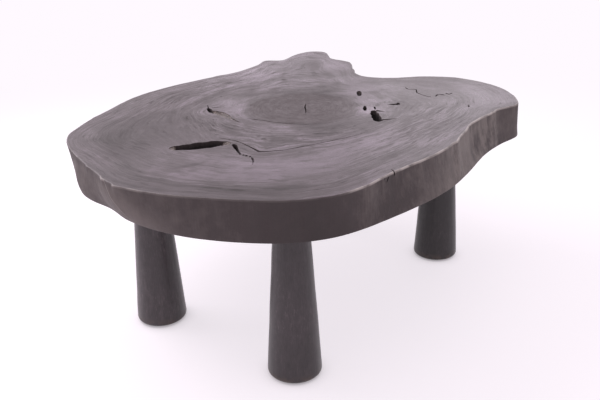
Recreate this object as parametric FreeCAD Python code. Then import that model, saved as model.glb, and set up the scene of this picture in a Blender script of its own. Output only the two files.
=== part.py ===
# Live edge coffee table: one thick slab sawn across a trunk, charred black, on four turned cone legs.
# Millimetres. +Z is up, +X runs along the long side of the legs' rectangle, and the origin lies on the floor
# under the slab's middle. Each leg is drawn up against the slab by a hanger bolt: its wood end is screwed into
# the leg, and its machine end into a threaded insert that is sunk flush in the slab's underside.
# A felt glide is stuck under each foot.
import FreeCAD, Part
import math
import os

Vector = FreeCAD.Vector
UP = Vector(0, 0, 1)

# The slab
SLAB_LENGTH = 1135.0
SLAB_WIDTH = 835.0
SLAB_THICKNESS = 80.0
EDGE_EASE = 3.0
BELLY_SHARE = 0.35

# The legs, on the corners of a rectangle whose middle stands off the slab's middle
LEG_LENGTH = 337.0
LEG_TOP_DIAMETER = 68.0
LEG_BASE_DIAMETER = 110.0
LEG_FOOT_ROUND = 8.0
LEG_TOP_EASE = 2.0
LEG_SPACING_LONG = 630.0
LEG_SPACING_SHORT = 375.0
LEG_GROUP_SHIFT_X = -49.0
LEG_GROUP_SHIFT_Y = -58.0

# The felt glides, set in from the edge of the foot's flat
GLIDE_INSET = 9.0
GLIDE_THICKNESS = 3.0
GLIDE_EDGE_CHAMFER = 0.8

# The hanger bolts
BOLT_DIAMETER = 10.0
BOLT_IN_LEG = 62.0
BOLT_PAST_INSERT = 4.0
BOLT_COLLAR_LENGTH = 8.0
BOLT_WOOD_THREAD_DEPTH = 1.3
BOLT_POINT_LENGTH = 7.0
BOLT_END_CHAMFER = 1.2

# The threaded inserts
INSERT_WALL = 4.0
INSERT_LENGTH = 25.0
INSERT_FLANGE_WIDTH = 3.0
INSERT_FLANGE_THICKNESS = 2.0
INSERT_HEX_ROOM = 2.0
INSERT_HEX_DEPTH = 8.0
HEX_SIDES = 6

# Fits: all round between a piece and its hole, past a bolt's end, and how far a cut starts outside the wood
FIT = 0.1
END_ROOM = 3.0
CUT_OVERSHOOT = 3.0
DRILL_POINT_SHARE = 0.5

# The live edge as drawn from above, once round anticlockwise from the near corner of the right end:
# place of the top's rim, and how far the underside's rim stands out (+) or in (-) from it.
RIM = [
    # right end: a broad lobe, a neck, then the pointed root flare
    (314, -417, 4), (368, -388, 6), (434, -323, 6), (466, -247, 2), (470, -178, -6), (440, -102, -10),
    (390, -48, -8), (361, 8, -4), (368, 58, 0), (440, 122, 4), (490, 168, 0), (500, 232, -6),
    (541, 273, -8), (567, 310, -10), (552, 343, -12), (505, 360, -8),
    # far side: a knuckle where bark broke away, then a long shoulder
    (448, 354, 0), (402, 352, 4), (378, 386, -4), (335, 377, 0), (216, 369, 6), (137, 389, 8),
    (-19, 416, 2), (-104, 418, -4), (-180, 401, -6), (-321, 352, -4), (-409, 314, -12),
    # left end: undercut nose, then a full round belly
    (-447, 278, -20), (-485, 215, -14), (-512, 150, -4), (-546, 64, -20), (-567, -5, -21), (-554, -106, -9),
    (-528, -176, 0), (-472, -288, 2), (-420, -346, 1),
    # near side: long and nearly straight, flared at the underside
    (-364, -377, 2), (-233, -396, 17), (-85, -416, 17), (60, -400, 21), (150, -390, 20), (249, -397, 16),
]

RIM_POINTS_PER_EDGE = 7

# Rot pockets in the top: middle of the mouth, its length and width, the way its length runs in degrees,
# and its depth. Each narrows evenly from its mouth to its floor.
POCKETS = {
    "long_slot": (-320, 15, 112, 20, -36, 46),
    "slot_tail": (-296, -60, 64, 9, 53, 22),
    "heart_side_hole": (-114, 172, 40, 15, 58, 26),
    "near_hole": (50, -184, 62, 24, 41, 42),
    "small_hole": (91, -130, 30, 12, 40, 24),
    "far_hole": (206, -40, 30, 13, 36, 24),
}
POCKET_FLOOR_SHARE = 0.6

# Sizes that follow from those above
BOLT_RADIUS = BOLT_DIAMETER / 2
BORE_RADIUS = BOLT_RADIUS + FIT
INSERT_RADIUS = BOLT_RADIUS + INSERT_WALL
INSERT_FLANGE_RADIUS = INSERT_RADIUS + INSERT_FLANGE_WIDTH
INSERT_HEX_ACROSS_FLATS = BOLT_DIAMETER + INSERT_HEX_ROOM
FOOT_FLAT_RADIUS = LEG_BASE_DIAMETER / 2 - LEG_FOOT_ROUND
GLIDE_RADIUS = FOOT_FLAT_RADIUS - GLIDE_INSET

# Heights above the floor
LEG_BOTTOM = GLIDE_THICKNESS
SLAB_BOTTOM = LEG_BOTTOM + LEG_LENGTH
SLAB_TOP = SLAB_BOTTOM + SLAB_THICKNESS
INSERT_TOP = SLAB_BOTTOM + INSERT_LENGTH
FLANGE_TOP = SLAB_BOTTOM + INSERT_FLANGE_THICKNESS
BOLT_TOP = INSERT_TOP + BOLT_PAST_INSERT
BOLT_BOTTOM = SLAB_BOTTOM - BOLT_IN_LEG

LEG_NAMES = {
    "left_near": (-1, -1),
    "right_near": (1, -1),
    "right_far": (1, 1),
    "left_far": (-1, 1),
}


def drawn_to_real(x, y):
    """A place on the drawn slab, stretched to the slab's length and width."""
    drawn_xs = [point[0] for point in RIM]
    drawn_ys = [point[1] for point in RIM]
    stretch_x = SLAB_LENGTH / (max(drawn_xs) - min(drawn_xs))
    stretch_y = SLAB_WIDTH / (max(drawn_ys) - min(drawn_ys))
    return Vector(x * stretch_x, y * stretch_y, 0)


def leg_places():
    """Each leg's name and the place of its axis on the floor."""
    places = {}
    for name, (side_x, side_y) in LEG_NAMES.items():
        x = LEG_GROUP_SHIFT_X + side_x * LEG_SPACING_LONG / 2
        y = LEG_GROUP_SHIFT_Y + side_y * LEG_SPACING_SHORT / 2
        places[name] = Vector(x, y, 0)
    return places


def turned(profile):
    """A solid turned about Z from a closed half profile: lines and three-point arcs of (radius, height)."""
    edges = []
    for start, *rest in profile:
        points = [Vector(radius, 0, height) for radius, height in (start, *rest)]
        if len(points) == 3:
            edges.append(Part.Arc(*points).toShape())
        else:
            edges.append(Part.LineSegment(*points).toShape())
    face = Part.Face(Part.Wire(edges))
    return face.revolve(Vector(0, 0, 0), UP, 360)


def straight_run(corners):
    """The straight edges of a profile that passes through the corners in turn."""
    return list(zip(corners[:-1], corners[1:]))


def quarter_round(centre, radius, start_degrees, end_degrees):
    """One round edge of a profile, as its start, middle and end."""
    middle_degrees = (start_degrees + end_degrees) / 2
    points = []
    for degrees in (start_degrees, middle_degrees, end_degrees):
        angle = math.radians(degrees)
        points.append((centre[0] + radius * math.cos(angle), centre[1] + radius * math.sin(angle)))
    return tuple(points)


def rim_places():
    """The rim's points at real size, with the outward direction at each."""
    points = [drawn_to_real(x, y) for x, y, _ in RIM]
    places = []
    for i, point in enumerate(points):
        along = points[(i + 1) % len(points)] - points[i - 1]
        outward = along.cross(UP).normalize()
        places.append((point, outward))
    return places


def rim_knots(places):
    """Knot values that follow the square root of each step, which keeps the curve tight at close points."""
    knots = [0.0]
    for i, (point, _) in enumerate(places):
        step = places[(i + 1) % len(places)][0] - point
        knots.append(knots[-1] + math.sqrt(step.Length))
    return knots


def rim_wire(height, foot_share, inset=0.0):
    """The slab's outline at one height, moved out by that share of each point's foot and in by the inset.

    One smooth closed curve, cut into a few edges of about as many points each.
    """
    places = rim_places()
    points = []
    for (point, outward), (_, _, foot) in zip(places, RIM):
        points.append(point + outward * (foot * foot_share - inset) + UP * height)
    knots = rim_knots(places)
    curve = Part.BSplineCurve()
    curve.interpolate(Points=points, PeriodicFlag=True, Parameters=knots)
    ends = knots[:-1:RIM_POINTS_PER_EDGE] + knots[-1:]
    return Part.Wire([curve.toShape(start, end) for start, end in zip(ends[:-1], ends[1:])])


def eased_rim(flat_height, inwards, foot_share):
    """The two outlines of an eased rim: where it leaves the wall, and where it meets the flat face."""
    on_wall = rim_wire(flat_height + inwards * EDGE_EASE, foot_share)
    on_flat = rim_wire(flat_height, foot_share, EDGE_EASE)
    return [on_wall, on_flat]


def pocket_wire(pocket, height):
    """A pocket's oval outline at one height, as wide there as its taper makes it."""
    x, y, length, width, degrees, depth = pocket
    share = 1 - (1 - POCKET_FLOOR_SHARE) * (SLAB_TOP - height) / depth
    centre = drawn_to_real(x, y) + UP * height
    oval = Part.Ellipse(Vector(0, 0, 0), share * length / 2, share * width / 2).toShape()
    oval.rotate(Vector(0, 0, 0), UP, degrees)
    oval.translate(centre)
    return Part.Wire(oval)


def pocket_cutter(pocket):
    """The wood missing from one pocket, carried on a little past the top."""
    depth = pocket[-1]
    mouth = pocket_wire(pocket, SLAB_TOP + CUT_OVERSHOOT)
    floor = pocket_wire(pocket, SLAB_TOP - depth)
    return Part.makeLoft([mouth, floor], True, True)


def insert_bore():
    """The stepped hole in the slab's underside for one insert and the end of its bolt."""
    mouth = SLAB_BOTTOM - CUT_OVERSHOOT
    flange_radius = INSERT_FLANGE_RADIUS + FIT
    body_radius = INSERT_RADIUS + FIT
    body_end = INSERT_TOP + FIT
    bolt_end = BOLT_TOP + END_ROOM
    return turned(straight_run([
        (0, mouth),
        (flange_radius, mouth),
        (flange_radius, FLANGE_TOP),
        (body_radius, FLANGE_TOP),
        (body_radius, body_end),
        (BORE_RADIUS, body_end),
        (BORE_RADIUS, bolt_end),
        (0, bolt_end + BORE_RADIUS * DRILL_POINT_SHARE),
        (0, mouth),
    ]))


def make_slab():
    """The slab: live edge, eased rims and two flat faces, less its rot pockets and the insert holes."""
    lower_rim = eased_rim(SLAB_BOTTOM, 1, 1.0)
    upper_rim = eased_rim(SLAB_TOP, -1, 0.0)
    belly = rim_wire(SLAB_BOTTOM + SLAB_THICKNESS / 2, BELLY_SHARE)
    faces = [Part.Face(lower_rim[-1]), Part.Face(upper_rim[-1])]
    for wires in (lower_rim, [lower_rim[0], belly, upper_rim[0]], upper_rim):
        faces += Part.makeLoft(wires, False, False).Faces
    shell = Part.makeShell(faces)
    shell.sewShape()
    slab = Part.makeSolid(shell)
    cutters = [pocket_cutter(pocket) for pocket in POCKETS.values()]
    for place in leg_places().values():
        bore = insert_bore()
        bore.translate(place)
        cutters.append(bore)
    return slab.cut(cutters)


def make_leg():
    """One turned cone leg, widest at the foot, with a round foot edge and the bolt's hole down its top."""
    base_radius = LEG_BASE_DIAMETER / 2
    top_radius = LEG_TOP_DIAMETER / 2
    lean_degrees = math.degrees(math.atan2(base_radius - top_radius, LEG_LENGTH))
    round_centre = (FOOT_FLAT_RADIUS, LEG_BOTTOM + LEG_FOOT_ROUND)
    foot = quarter_round(round_centre, LEG_FOOT_ROUND, -90, lean_degrees)
    hole_bottom = BOLT_BOTTOM - FIT
    profile = [((0, LEG_BOTTOM), foot[0]), foot]
    profile += straight_run([
        foot[-1],
        (top_radius, SLAB_BOTTOM - LEG_TOP_EASE),
        (top_radius - LEG_TOP_EASE, SLAB_BOTTOM),
        (BORE_RADIUS, SLAB_BOTTOM),
        (BORE_RADIUS, hole_bottom + BOLT_POINT_LENGTH),
        (0, hole_bottom),
        (0, LEG_BOTTOM),
    ])
    return turned(profile)


def make_glide():
    """One felt disc under a foot, with its lower edge taken off."""
    return turned(straight_run([
        (0, 0),
        (GLIDE_RADIUS - GLIDE_EDGE_CHAMFER, 0),
        (GLIDE_RADIUS, GLIDE_EDGE_CHAMFER),
        (GLIDE_RADIUS, GLIDE_THICKNESS),
        (0, GLIDE_THICKNESS),
        (0, 0),
    ]))


def make_hanger_bolt():
    """One hanger bolt: pointed wood end in the leg, plain collar at the joint, machine end in the insert."""
    root_radius = BOLT_RADIUS - BOLT_WOOD_THREAD_DEPTH
    collar_bottom = SLAB_BOTTOM - BOLT_COLLAR_LENGTH
    return turned(straight_run([
        (0, BOLT_BOTTOM),
        (root_radius, BOLT_BOTTOM + BOLT_POINT_LENGTH),
        (root_radius, collar_bottom),
        (BOLT_RADIUS, collar_bottom),
        (BOLT_RADIUS, BOLT_TOP - BOLT_END_CHAMFER),
        (BOLT_RADIUS - BOLT_END_CHAMFER, BOLT_TOP),
        (0, BOLT_TOP),
        (0, BOLT_BOTTOM),
    ]))


def make_insert():
    """One threaded insert: a flanged sleeve with a hexagon drive in its mouth."""
    sleeve = turned(straight_run([
        (BORE_RADIUS, SLAB_BOTTOM),
        (INSERT_FLANGE_RADIUS, SLAB_BOTTOM),
        (INSERT_FLANGE_RADIUS, FLANGE_TOP),
        (INSERT_RADIUS, FLANGE_TOP),
        (INSERT_RADIUS, INSERT_TOP),
        (BORE_RADIUS, INSERT_TOP),
        (BORE_RADIUS, SLAB_BOTTOM),
    ]))
    corner_radius = INSERT_HEX_ACROSS_FLATS / math.sqrt(3)
    corners = []
    for i in range(HEX_SIDES + 1):
        angle = 2 * math.pi * i / HEX_SIDES
        corners.append(Vector(corner_radius * math.cos(angle), corner_radius * math.sin(angle), SLAB_BOTTOM))
    hexagon = Part.Face(Part.makePolygon(corners)).extrude(UP * INSERT_HEX_DEPTH)
    return sleeve.cut(hexagon)


def make_pieces():
    """Every piece in its place, by name, about the slab's drawn middle."""
    pieces = {"slab_top": make_slab()}
    makers = {
        "leg": make_leg,
        "felt_glide": make_glide,
        "hanger_bolt": make_hanger_bolt,
        "threaded_insert": make_insert,
    }
    for kind, make in makers.items():
        for name, place in leg_places().items():
            piece = make()
            piece.translate(place)
            pieces[f"{kind}_{name}"] = piece
    return pieces


def main():
    """Moves the pieces so that the origin lies under the middle of the slab's box, and writes them."""
    os.makedirs("parts", exist_ok=True)
    pieces = make_pieces()
    box = pieces["slab_top"].optimalBoundingBox()
    to_origin = Vector(-box.Center.x, -box.Center.y, 0)
    for name, piece in pieces.items():
        piece.translate(to_origin)
        piece.exportStep(f"parts/{name}.step")
        print(name, piece.isValid(), len(piece.Solids), round(piece.Volume))
    print("slab box", box)


if __name__ == "__main__":
    main()
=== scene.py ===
import math

import bpy
import numpy as np
from bpy.props import FloatProperty, FloatVectorProperty, IntProperty, PointerProperty
from mathutils import Matrix, Vector


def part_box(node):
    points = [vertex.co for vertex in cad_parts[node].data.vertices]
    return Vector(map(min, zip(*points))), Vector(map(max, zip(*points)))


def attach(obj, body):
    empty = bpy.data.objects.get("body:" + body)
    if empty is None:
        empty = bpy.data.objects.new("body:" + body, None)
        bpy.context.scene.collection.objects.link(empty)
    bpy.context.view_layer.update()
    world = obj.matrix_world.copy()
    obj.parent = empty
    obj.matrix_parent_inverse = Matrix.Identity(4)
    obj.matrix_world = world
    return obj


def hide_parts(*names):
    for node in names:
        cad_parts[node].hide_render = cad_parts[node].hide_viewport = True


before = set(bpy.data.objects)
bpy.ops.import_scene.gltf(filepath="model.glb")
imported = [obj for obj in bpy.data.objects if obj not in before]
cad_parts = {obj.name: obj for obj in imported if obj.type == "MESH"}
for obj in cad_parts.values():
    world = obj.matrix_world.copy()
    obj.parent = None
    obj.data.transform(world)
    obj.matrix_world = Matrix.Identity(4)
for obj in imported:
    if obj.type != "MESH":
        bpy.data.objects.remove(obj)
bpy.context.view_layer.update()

bl_info = {
    "name": "Live Edge Coffee Table",
    "version": (1, 0, 0),
    "blender": (4, 5, 0),
    "location": "View3D > Sidebar > Table",
    "description": "A charred trunk slab with its live edge, on four turned cone legs",
    "category": "Object",
}

SLAB_NODE = "slab_top"
CORNERS = ("left_near", "right_near", "right_far", "left_far")
# Lengths are in metres where a comment says nothing else.
MM = 0.001

# The middle that the outline is surveyed from, and the pith that the growth rings run round.
HEART = np.array((0.033, 0.016))
PITH = np.array((0.017, 0.002))

# Rot pockets and cracks in the top, each carved along a crooked line and rounded off at both ends.
# A point is its place from the frame's origin, then half the cut's width and its depth, in millimetres.
POCKETS = {
    "long_slot": (
        (-367, 62, 10, 2.5), (-364, 57, 13, 2.5), (-361, 53, 14, 3), (-357, 49, 14, 26),
        (-348, 39, 16, 44), (-338, 30, 18, 46), (-328, 23, 20, 46), (-317, 16, 21, 46),
        (-306, 8, 20, 45), (-295, 0, 19, 42), (-291, -5, 17.5, 30), (-287, -10, 16, 6),
        (-284, -15, 15, 4), (-282, -20, 12, 3), (-283, -27, 6, 2.5),
    ),
    "slot_tail": (
        (-277, -32, 3, 14), (-282, -38, 5, 24), (-287, -45, 5.6, 26), (-294, -53, 4.6, 26),
        (-301, -62, 3.2, 22), (-308, -70, 2.6, 18), (-313, -77, 3, 16), (-317, -82, 2, 12),
    ),
    "heart_side_hole": (
        (-104, 193, 3.2, 12), (-112, 182, 5.2, 24), (-120, 171, 6, 28), (-128, 159, 5.4, 24),
    ),
    "near_hole": (
        (14, -206, 7, 24), (21, -201, 11.5, 38), (30, -192, 10, 45), (40, -184, 11.5, 45),
        (52, -174, 9.5, 45), (62, -166, 10, 40), (71, -159, 7.5, 30), (80, -154, 6.5, 16),
        (86, -152, 3.5, 10),
    ),
    "small_hole": (
        (72, -136, 2.4, 12), (81, -129, 4.4, 20), (91, -123, 4.6, 20), (100, -118, 3.6, 14),
        (107, -114, 1.4, 9),
    ),
    "far_hole": (
        (176, -56, 3, 6), (184, -51, 5.5, 11), (196, -43, 6.5, 13), (208, -36, 5.8, 11),
        (217, -30, 2.6, 6),
    ),
}
CRACKS = {
    "hole_brow": ((-98, 187, 1.6, 8), (-92, 184, 1.5, 8), (-87, 178, 1.1, 7), (-81, 171, 0.6, 5)),
    "hole_lash": ((-84, 213, 0.6, 8), (-94, 202, 1.1, 9), (-104, 192, 1.3, 9)),
    "near_hole_spike": (
        (24, -200, 4, 12), (33, -209, 3.4, 12), (41, -216, 2.5, 12), (49, -222, 1.6, 9),
        (56, -228, 0.8, 6),
    ),
    "near_hole_spur": ((90, -156, 2.4, 9), (87, -161, 5.4, 10), (87, -169, 3.2, 9), (89, -178, 0.9, 7)),
    "small_hole_slit": (
        (93, -150, 1.8, 9), (101, -145, 2.0, 9), (108, -139.5, 2.4, 10), (113, -136, 1.0, 8),
    ),
    "hole_crack": (
        (142, -155, 0.7, 6), (147, -158, 2.4, 9), (150, -161, 3.4, 10), (153, -165, 6.4, 12),
        (156, -168, 3.0, 9), (159, -172, 9.0, 13), (160, -175.5, 2.6, 9), (160, -179, 3.8, 10),
    ),
    "lobe_crack": (
        (309, -113, 1.6, 8), (303, -119, 1.9, 9), (297, -126, 1.3, 9), (295, -130, 1.1, 9),
        (300, -137, 1.4, 9), (305, -146, 1.4, 9), (293, -153, 1.5, 10), (279, -161, 1.8, 10),
        (270, -175, 1.6, 9), (263, -189, 1.6, 9), (259, -202, 1.9, 10), (262, -210, 1.1, 8),
    ),
    "lobe_crack_end": (
        (268, -218, 1.2, 8), (276, -216, 1.4, 9), (284, -214, 3.2, 10), (289, -217, 1.2, 9),
        (293, -225, 3.6, 11), (291, -231, 1.4, 9),
    ),
    "heart_crack": (
        (-18, -30, 0.5, 6), (-6, -23, 1.0, 8), (8, -12, 1.5, 10), (22, 0, 1.7, 10), (36, 9, 1.3, 9),
        (49, 16, 0.5, 6),
    ),
    "rim_nick": (
        (-233, -375, 0.7, 5), (-240, -384, 1.4, 7), (-247, -392, 2.0, 9), (-258, -404, 2.2, 9),
    ),
    "lobe_crack_tip": (
        (310, -225, 1.2, 8), (307, -230, 3.0, 10), (304, -237, 2.0, 9), (312, -238, 1.4, 9),
        (321, -237, 1.3, 8),
    ),
}
# Pin holes: place, half width and depth. The first row beads the tail of the slot.
PIN_HOLES = (
    (-318, -84, 2.4, 14), (-319, -93, 2.3, 14), (-319, -100.5, 2.7, 14), (-319, -110, 2.1, 14),
    (-323, -117, 1.7, 14), (-327, -122, 2.6, 14), (-332, -127.5, 2.4, 14), (-338, -133, 2.0, 14),
    (-344, -137, 1.5, 12), (-350, -141, 1.2, 10), (226, -324, 2.0, 5), (232, -321, 2.6, 6),
    (239, -318, 1.8, 5), (-8, 236, 1.6, 6), (167, -170, 3.8, 9),
)
SHALLOW_CUTS = {
    "rotten_vein": (
        (-118, 168, 7, 3), (-121, 152, 10.5, 3.5), (-124, 136, 11, 4), (-129, 120, 10, 4),
        (-136, 104, 7.5, 3.5), (-142, 88, 3.5, 3), (-148, 70, 1.6, 4), (-152, 55, 0.8, 4),
    ),
    "ring_shake": (
        (-262, 20, 0.7, 6), (-259, -4, 1.3, 8), (-259, -24, 1.6, 8), (-264, -46, 1.3, 8),
        (-271, -66, 1.7, 9), (-279, -88, 2.2, 10), (-286, -105, 3.0, 11), (-276, -121, 1.9, 9),
        (-251, -144, 1.2, 8), (-220, -159, 1.3, 8), (-189, -174, 0.9, 7), (-156, -189, 1.2, 7),
        (-118, -206, 0.8, 6), (-92, -214, 0.6, 6), (-60, -222, 0.4, 4),
    ),
    "heart_shake": (
        (-124, 60, 0.8, 5), (-118, 44, 1.6, 6), (-114, 18, 1.5, 6), (-112, -8, 1.3, 6),
        (-107, -32, 1.5, 6), (-99, -56, 1.4, 6), (-86, -82, 0.9, 6), (-68, -104, 0.6, 5),
        (-42, -124, 0.4, 4),
    ),
}
# Cracks in the wall: place and height from the top down, half width and depth, all in millimetres.
WALL_CRACKS = (
    ((-261, -386, -4, 0.9, 6), (-264, -386, -8, 1.4, 7), (-268, -386, -13, 0.9, 6)),
    ((-274, -386, -3, 0.8, 5), (-276, -386, -6, 0.8, 5)),
)

# Knots that pull the growth rings out of round: place, reach and pull, in millimetres.
KNOTS = (
    (-398, 205, 90, 22), (130, -300, 70, 40), (-118, 168, 28, 34), (-300, 20, 45, 26),
    (50, -180, 26, 22), (420, 250, 60, 50), (-290, -120, 40, 26), (205, -40, 24, 16), (330, -90, 60, 8),
    (270, -240, 50, 26), (240, 200, 60, 24),
)
# Growth rings are circles up to the first share of the way to the rim, and copies of it from the second.
RING_SHARES = (0.2, 0.9)
# The slab's mean radius, that growth rings near the rim are measured in.
MEAN_RADIUS = 0.43

# Growth rings, by their distance from the pith: the heartwood ends between the first two, and the pale ring
# round it starts and ends between the next pairs.
HEARTWOOD_ENDS = (0.118, 0.142)
HALO_STARTS = (0.136, 0.150)
HALO_ENDS = (0.165, 0.240)

# Seeds of the random patterns; where like pieces follow each other, each counts on from the last.
SEEDS = {
    "swells": 11, "flutes": 12, "slim_flutes": 13, "fibres": 14, "upper_rim": 21, "lower_rim": 22,
    "cuts": 31, "wall_cracks": 61, "pin_holes": 81, "leg_grain": 101, "leg_waver": 111, "fuzz": 121,
    "band": 141,
}

# A carved line: the step that it is walked in, its fewest steps and the sides of its ring.
CUT_STEP = 0.0018
CUT_FEWEST_STEPS = 14
CUT_SIDES = 24
# How far a carved line stands out of the wood, the least half width that its ends are rounded by, and the
# share of that half width by which they stop short of a point.
CUT_OVERLAP = 0.003
CUT_LEAST = 0.0006
CUT_BLUNT = 0.03
# The power of a cosine that its lens is filled out by.
CUT_FULLNESS = 0.7
# Its walls waver by this share of the half width, over this length, and repeat after this many lengths.
CUT_WAVER = 0.12
CUT_WAVER_LENGTH = 0.009
CUT_WAVERS = 4096
DOWN = (0.0, 0.0, -1.0)
# A place on the slab is in a cut if it lies this far inside the wall and no deeper than this below the top.
INSIDE_WALL = 0.009
DEEPEST_CUT = 0.05
# A face is in a cut from this far inside the wall and this far below the top.
FACE_INSIDE_WALL = 0.004
FACE_BELOW_TOP = 0.0003
# Cuts of the first depth have no soot in them, and those of the second are black with it: char, with
# painted shade that deepens with the cut.
SOOT_AND_SHADE_DEPTHS = (0.003, 0.013)

# How many swells, flutes, slim flutes and fibres go round the live edge, and up to what height they
# change the wall's tone.
SWELLS = 30
FLUTES = 190
SLIM_FLUTES = 420
FIBRES = 1000
TONED_RELIEF = 0.003
# How rounded the crest of a ridge is.
CREST_ROUND = 0.0003
# Height shares between which the nose's ridge, the chips and then all relief rise to their full height.
NOSE_RIDGE_RISE = (1.0, 0.55)
CHIP_RISE = (0.72, 0.97)
RELIEF_RISE = (-0.1, 0.35)
# The way that the nose faces, and how closely a piece of the wall has to face that way to belong to it.
NOSE_WAY = np.array((-0.9, 0.44))
NOSE_FACES = (0.6, 0.97)
# How many wavers the upper and the lower rim have, and the flat brim inside the upper one.
UPPER_WAVERS = 120
LOWER_WAVERS = 90
BRIM = 0.0004

# The dark band inside the near rim: its width, how far and how often that wavers, how soft its inner border
# is, where it grows dark, how far it darkens the top and makes its rings bolder, and the boldest they get.
BAND_WIDTH = 0.074
BAND_WAVER = 0.007
BAND_WAVERS = 60
BAND_SOFTNESS = 0.008
BAND_DARKENS = (0.012, 0.062)
BAND_SHADE = 0.30
BAND_BOLD = 0.5
BOLDEST = 1.4
# Turns between which the band grows at either of its ends.
BAND_ENDS = ((0.17, 0.12), (0.97, 0.99))

# A leg, up from the floor: the round of its foot, the angle of that round's first ring and the count of its
# rings, the start of the shaft, and how far below the top the shaft ends and the last rings lie.
FOOT_ROUND = 0.010
FOOT_FIRST = 0.03
FOOT_RINGS = 12
SHAFT_START = 0.012
SHAFT_END = 0.0025
NECK_RINGS = (0.0019, 0.001, 0.00005)
# In how many ways a leg's radius is surveyed, and the angle that keeps them off its solid's own corners.
LEG_SURVEY = 24
SURVEY_TURN = 0.01
# How many lines of grain and wavers go round a leg, and over what share of its height both fade at its ends.
LEG_GRAINS = 72
LEG_WAVERS = 3
LEG_FADE = 0.02
# Heights between which the rubbing of a foot grows.
FOOT_RUBBED = (0.022, 0.006)
# A felt glide: its rows and columns, the share that its edges are drawn in by, and the height and count of
# the tufts of its fuzz.
GLIDE_ROWS = 9
GLIDE_COLUMNS = 180
GLIDE_EASE = 0.018
FUZZ = 0.00035
TUFTS = 90
# Rows up the two threads of a bolt and the thread of an insert.
WOOD_ROWS = 96
MACHINE_ROWS = 128
SLEEVE_ROWS = 60
# The share of its radius that a bolt's point ends in and a bore's end is drawn in to, and the share of its
# depth that the wood thread stands out by.
POINT_SHARE = 0.04
BORE_END = 0.1
THREAD_KEPT = 0.98
# Faces that meet at more than these angles, in degrees, keep a sharp line between them.
SLAB_CREASE = 42
TURNED_CREASE = 50
THREAD_CREASE = 35

# The place that the lights are turned to, then the name, offset from that place and size of each.
LIGHT_TARGET = (0.0, 0.0, 0.35)
LIGHTS = (
    ("key", (-0.4, 1.6, 1.35), 1.8),
    ("rim_light", (2.3, 0.3, 0.9), 1.6),
    ("overhead", (-0.1, 0.1, 2.3), 2.2),
)
LAMP_COLOUR = (1.0, 0.94, 0.99)
# The camera's sensor, in millimetres.
SENSOR_WIDTH = 36.0

# Turns count once round the live edge from the middle of the nose, through the near side, back to the nose.
# How far the char is worn off the wall, by turns: the near side is smooth and dark, the near right grey and
# fluted. The sudden drops past turns 0.236 and 0.304 are painted shade, where the wall turns away from the
# light.
WALL_WEAR_AND_SHADE = (
    (0.0, 0.16), (0.12, 0.10), (0.145, 0.45), (0.16, 0.5), (0.20, 0.45), (0.225, 0.5), (0.232, 1.0),
    (0.236, 0.9), (0.240, 0.45), (0.258, 0.5), (0.270, 0.8), (0.30, 1.0), (0.304, 0.95), (0.308, 0.35),
    (0.335, 0.3), (0.40, 0.55), (0.6, 0.6), (0.95, 0.4), (0.99, 0.3), (1.0, 0.16),
)
# How pale the wall is painted, by turns: the wood's own tone, and painted shade in the fall from turn 0.27
# to 0.306, where the wall turns away from the light.
WALL_TONE_AND_SHADE = (
    (0.0, 0.54), (0.010, 0.61), (0.026, 0.64), (0.044, 0.59), (0.075, 0.53), (0.112, 0.32),
    (0.128, 0.44), (0.147, 0.58), (0.188, 0.61), (0.202, 0.69), (0.220, 0.86), (0.241, 0.89),
    (0.269, 0.96), (0.289, 0.74), (0.306, 0.50), (0.322, 0.56), (0.40, 0.52), (0.60, 0.54),
    (0.90, 0.46), (0.954, 0.38), (0.972, 0.40), (1.0, 0.54),
)
# How far the rim's own edge is rubbed to bare wood, by turns, with a painted highlight along that pale line.
RIM_WEAR_AND_HIGHLIGHT = (
    (0.0, 0.06), (0.0015, 0.1), (0.0035, 0.75), (0.006, 0.35), (0.03, 0.22), (0.06, 0.10),
    (0.118, 0.08), (0.128, 0.3), (0.137, 0.9), (0.16, 1.0), (0.30, 1.0), (0.32, 0.7), (0.36, 0.3),
    (0.6, 0.3), (0.90, 0.08), (0.986, 0.06), (0.9905, 0.5), (0.995, 0.1), (1.0, 0.06),
)
# Ridges and hollows down the wall: turn at the top, turn at the foot, then height and fall to either side,
# in millimetres.
RIDGES = (
    (0.2336, 0.2319, 3.5, 14, 30), (0.2700, 0.2660, -4.5, 45, 40), (0.2990, 0.2930, 4.5, 45, 35),
    (0.3045, 0.2961, 2.0, 10, 12), (0.1470, 0.1500, 1.5, 30, 30), (0.4200, 0.4240, 3.0, 26, 18),
    (0.5150, 0.5100, 4.0, 20, 30), (0.6100, 0.6130, 3.0, 24, 16), (0.7300, 0.7270, 3.5, 30, 20),
    (0.8650, 0.8600, 3.0, 22, 36),
)
# The ridge that runs down the nose from its rim, in the same form; it stands out only below the rim.
NOSE_RIDGE = (0.9929, 1.0127, 6.5, 110, 80)
# Chips that jut from the rim of the nose, in the same form; they fade a little way below the rim.
RIM_CHIPS = ((0.0034, 0.0030, 3.5, 6, 30), (0.9905, 0.9925, 2.5, 10, 12), (0.9670, 0.9690, 2.0, 7, 20))
# The nose swells below its rim: turn, height share, half lengths along the wall and up it, and height in
# millimetres.
NOSE_BELLY = (0.957, 0.34, 0.022, 0.42, 10.0)
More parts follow.
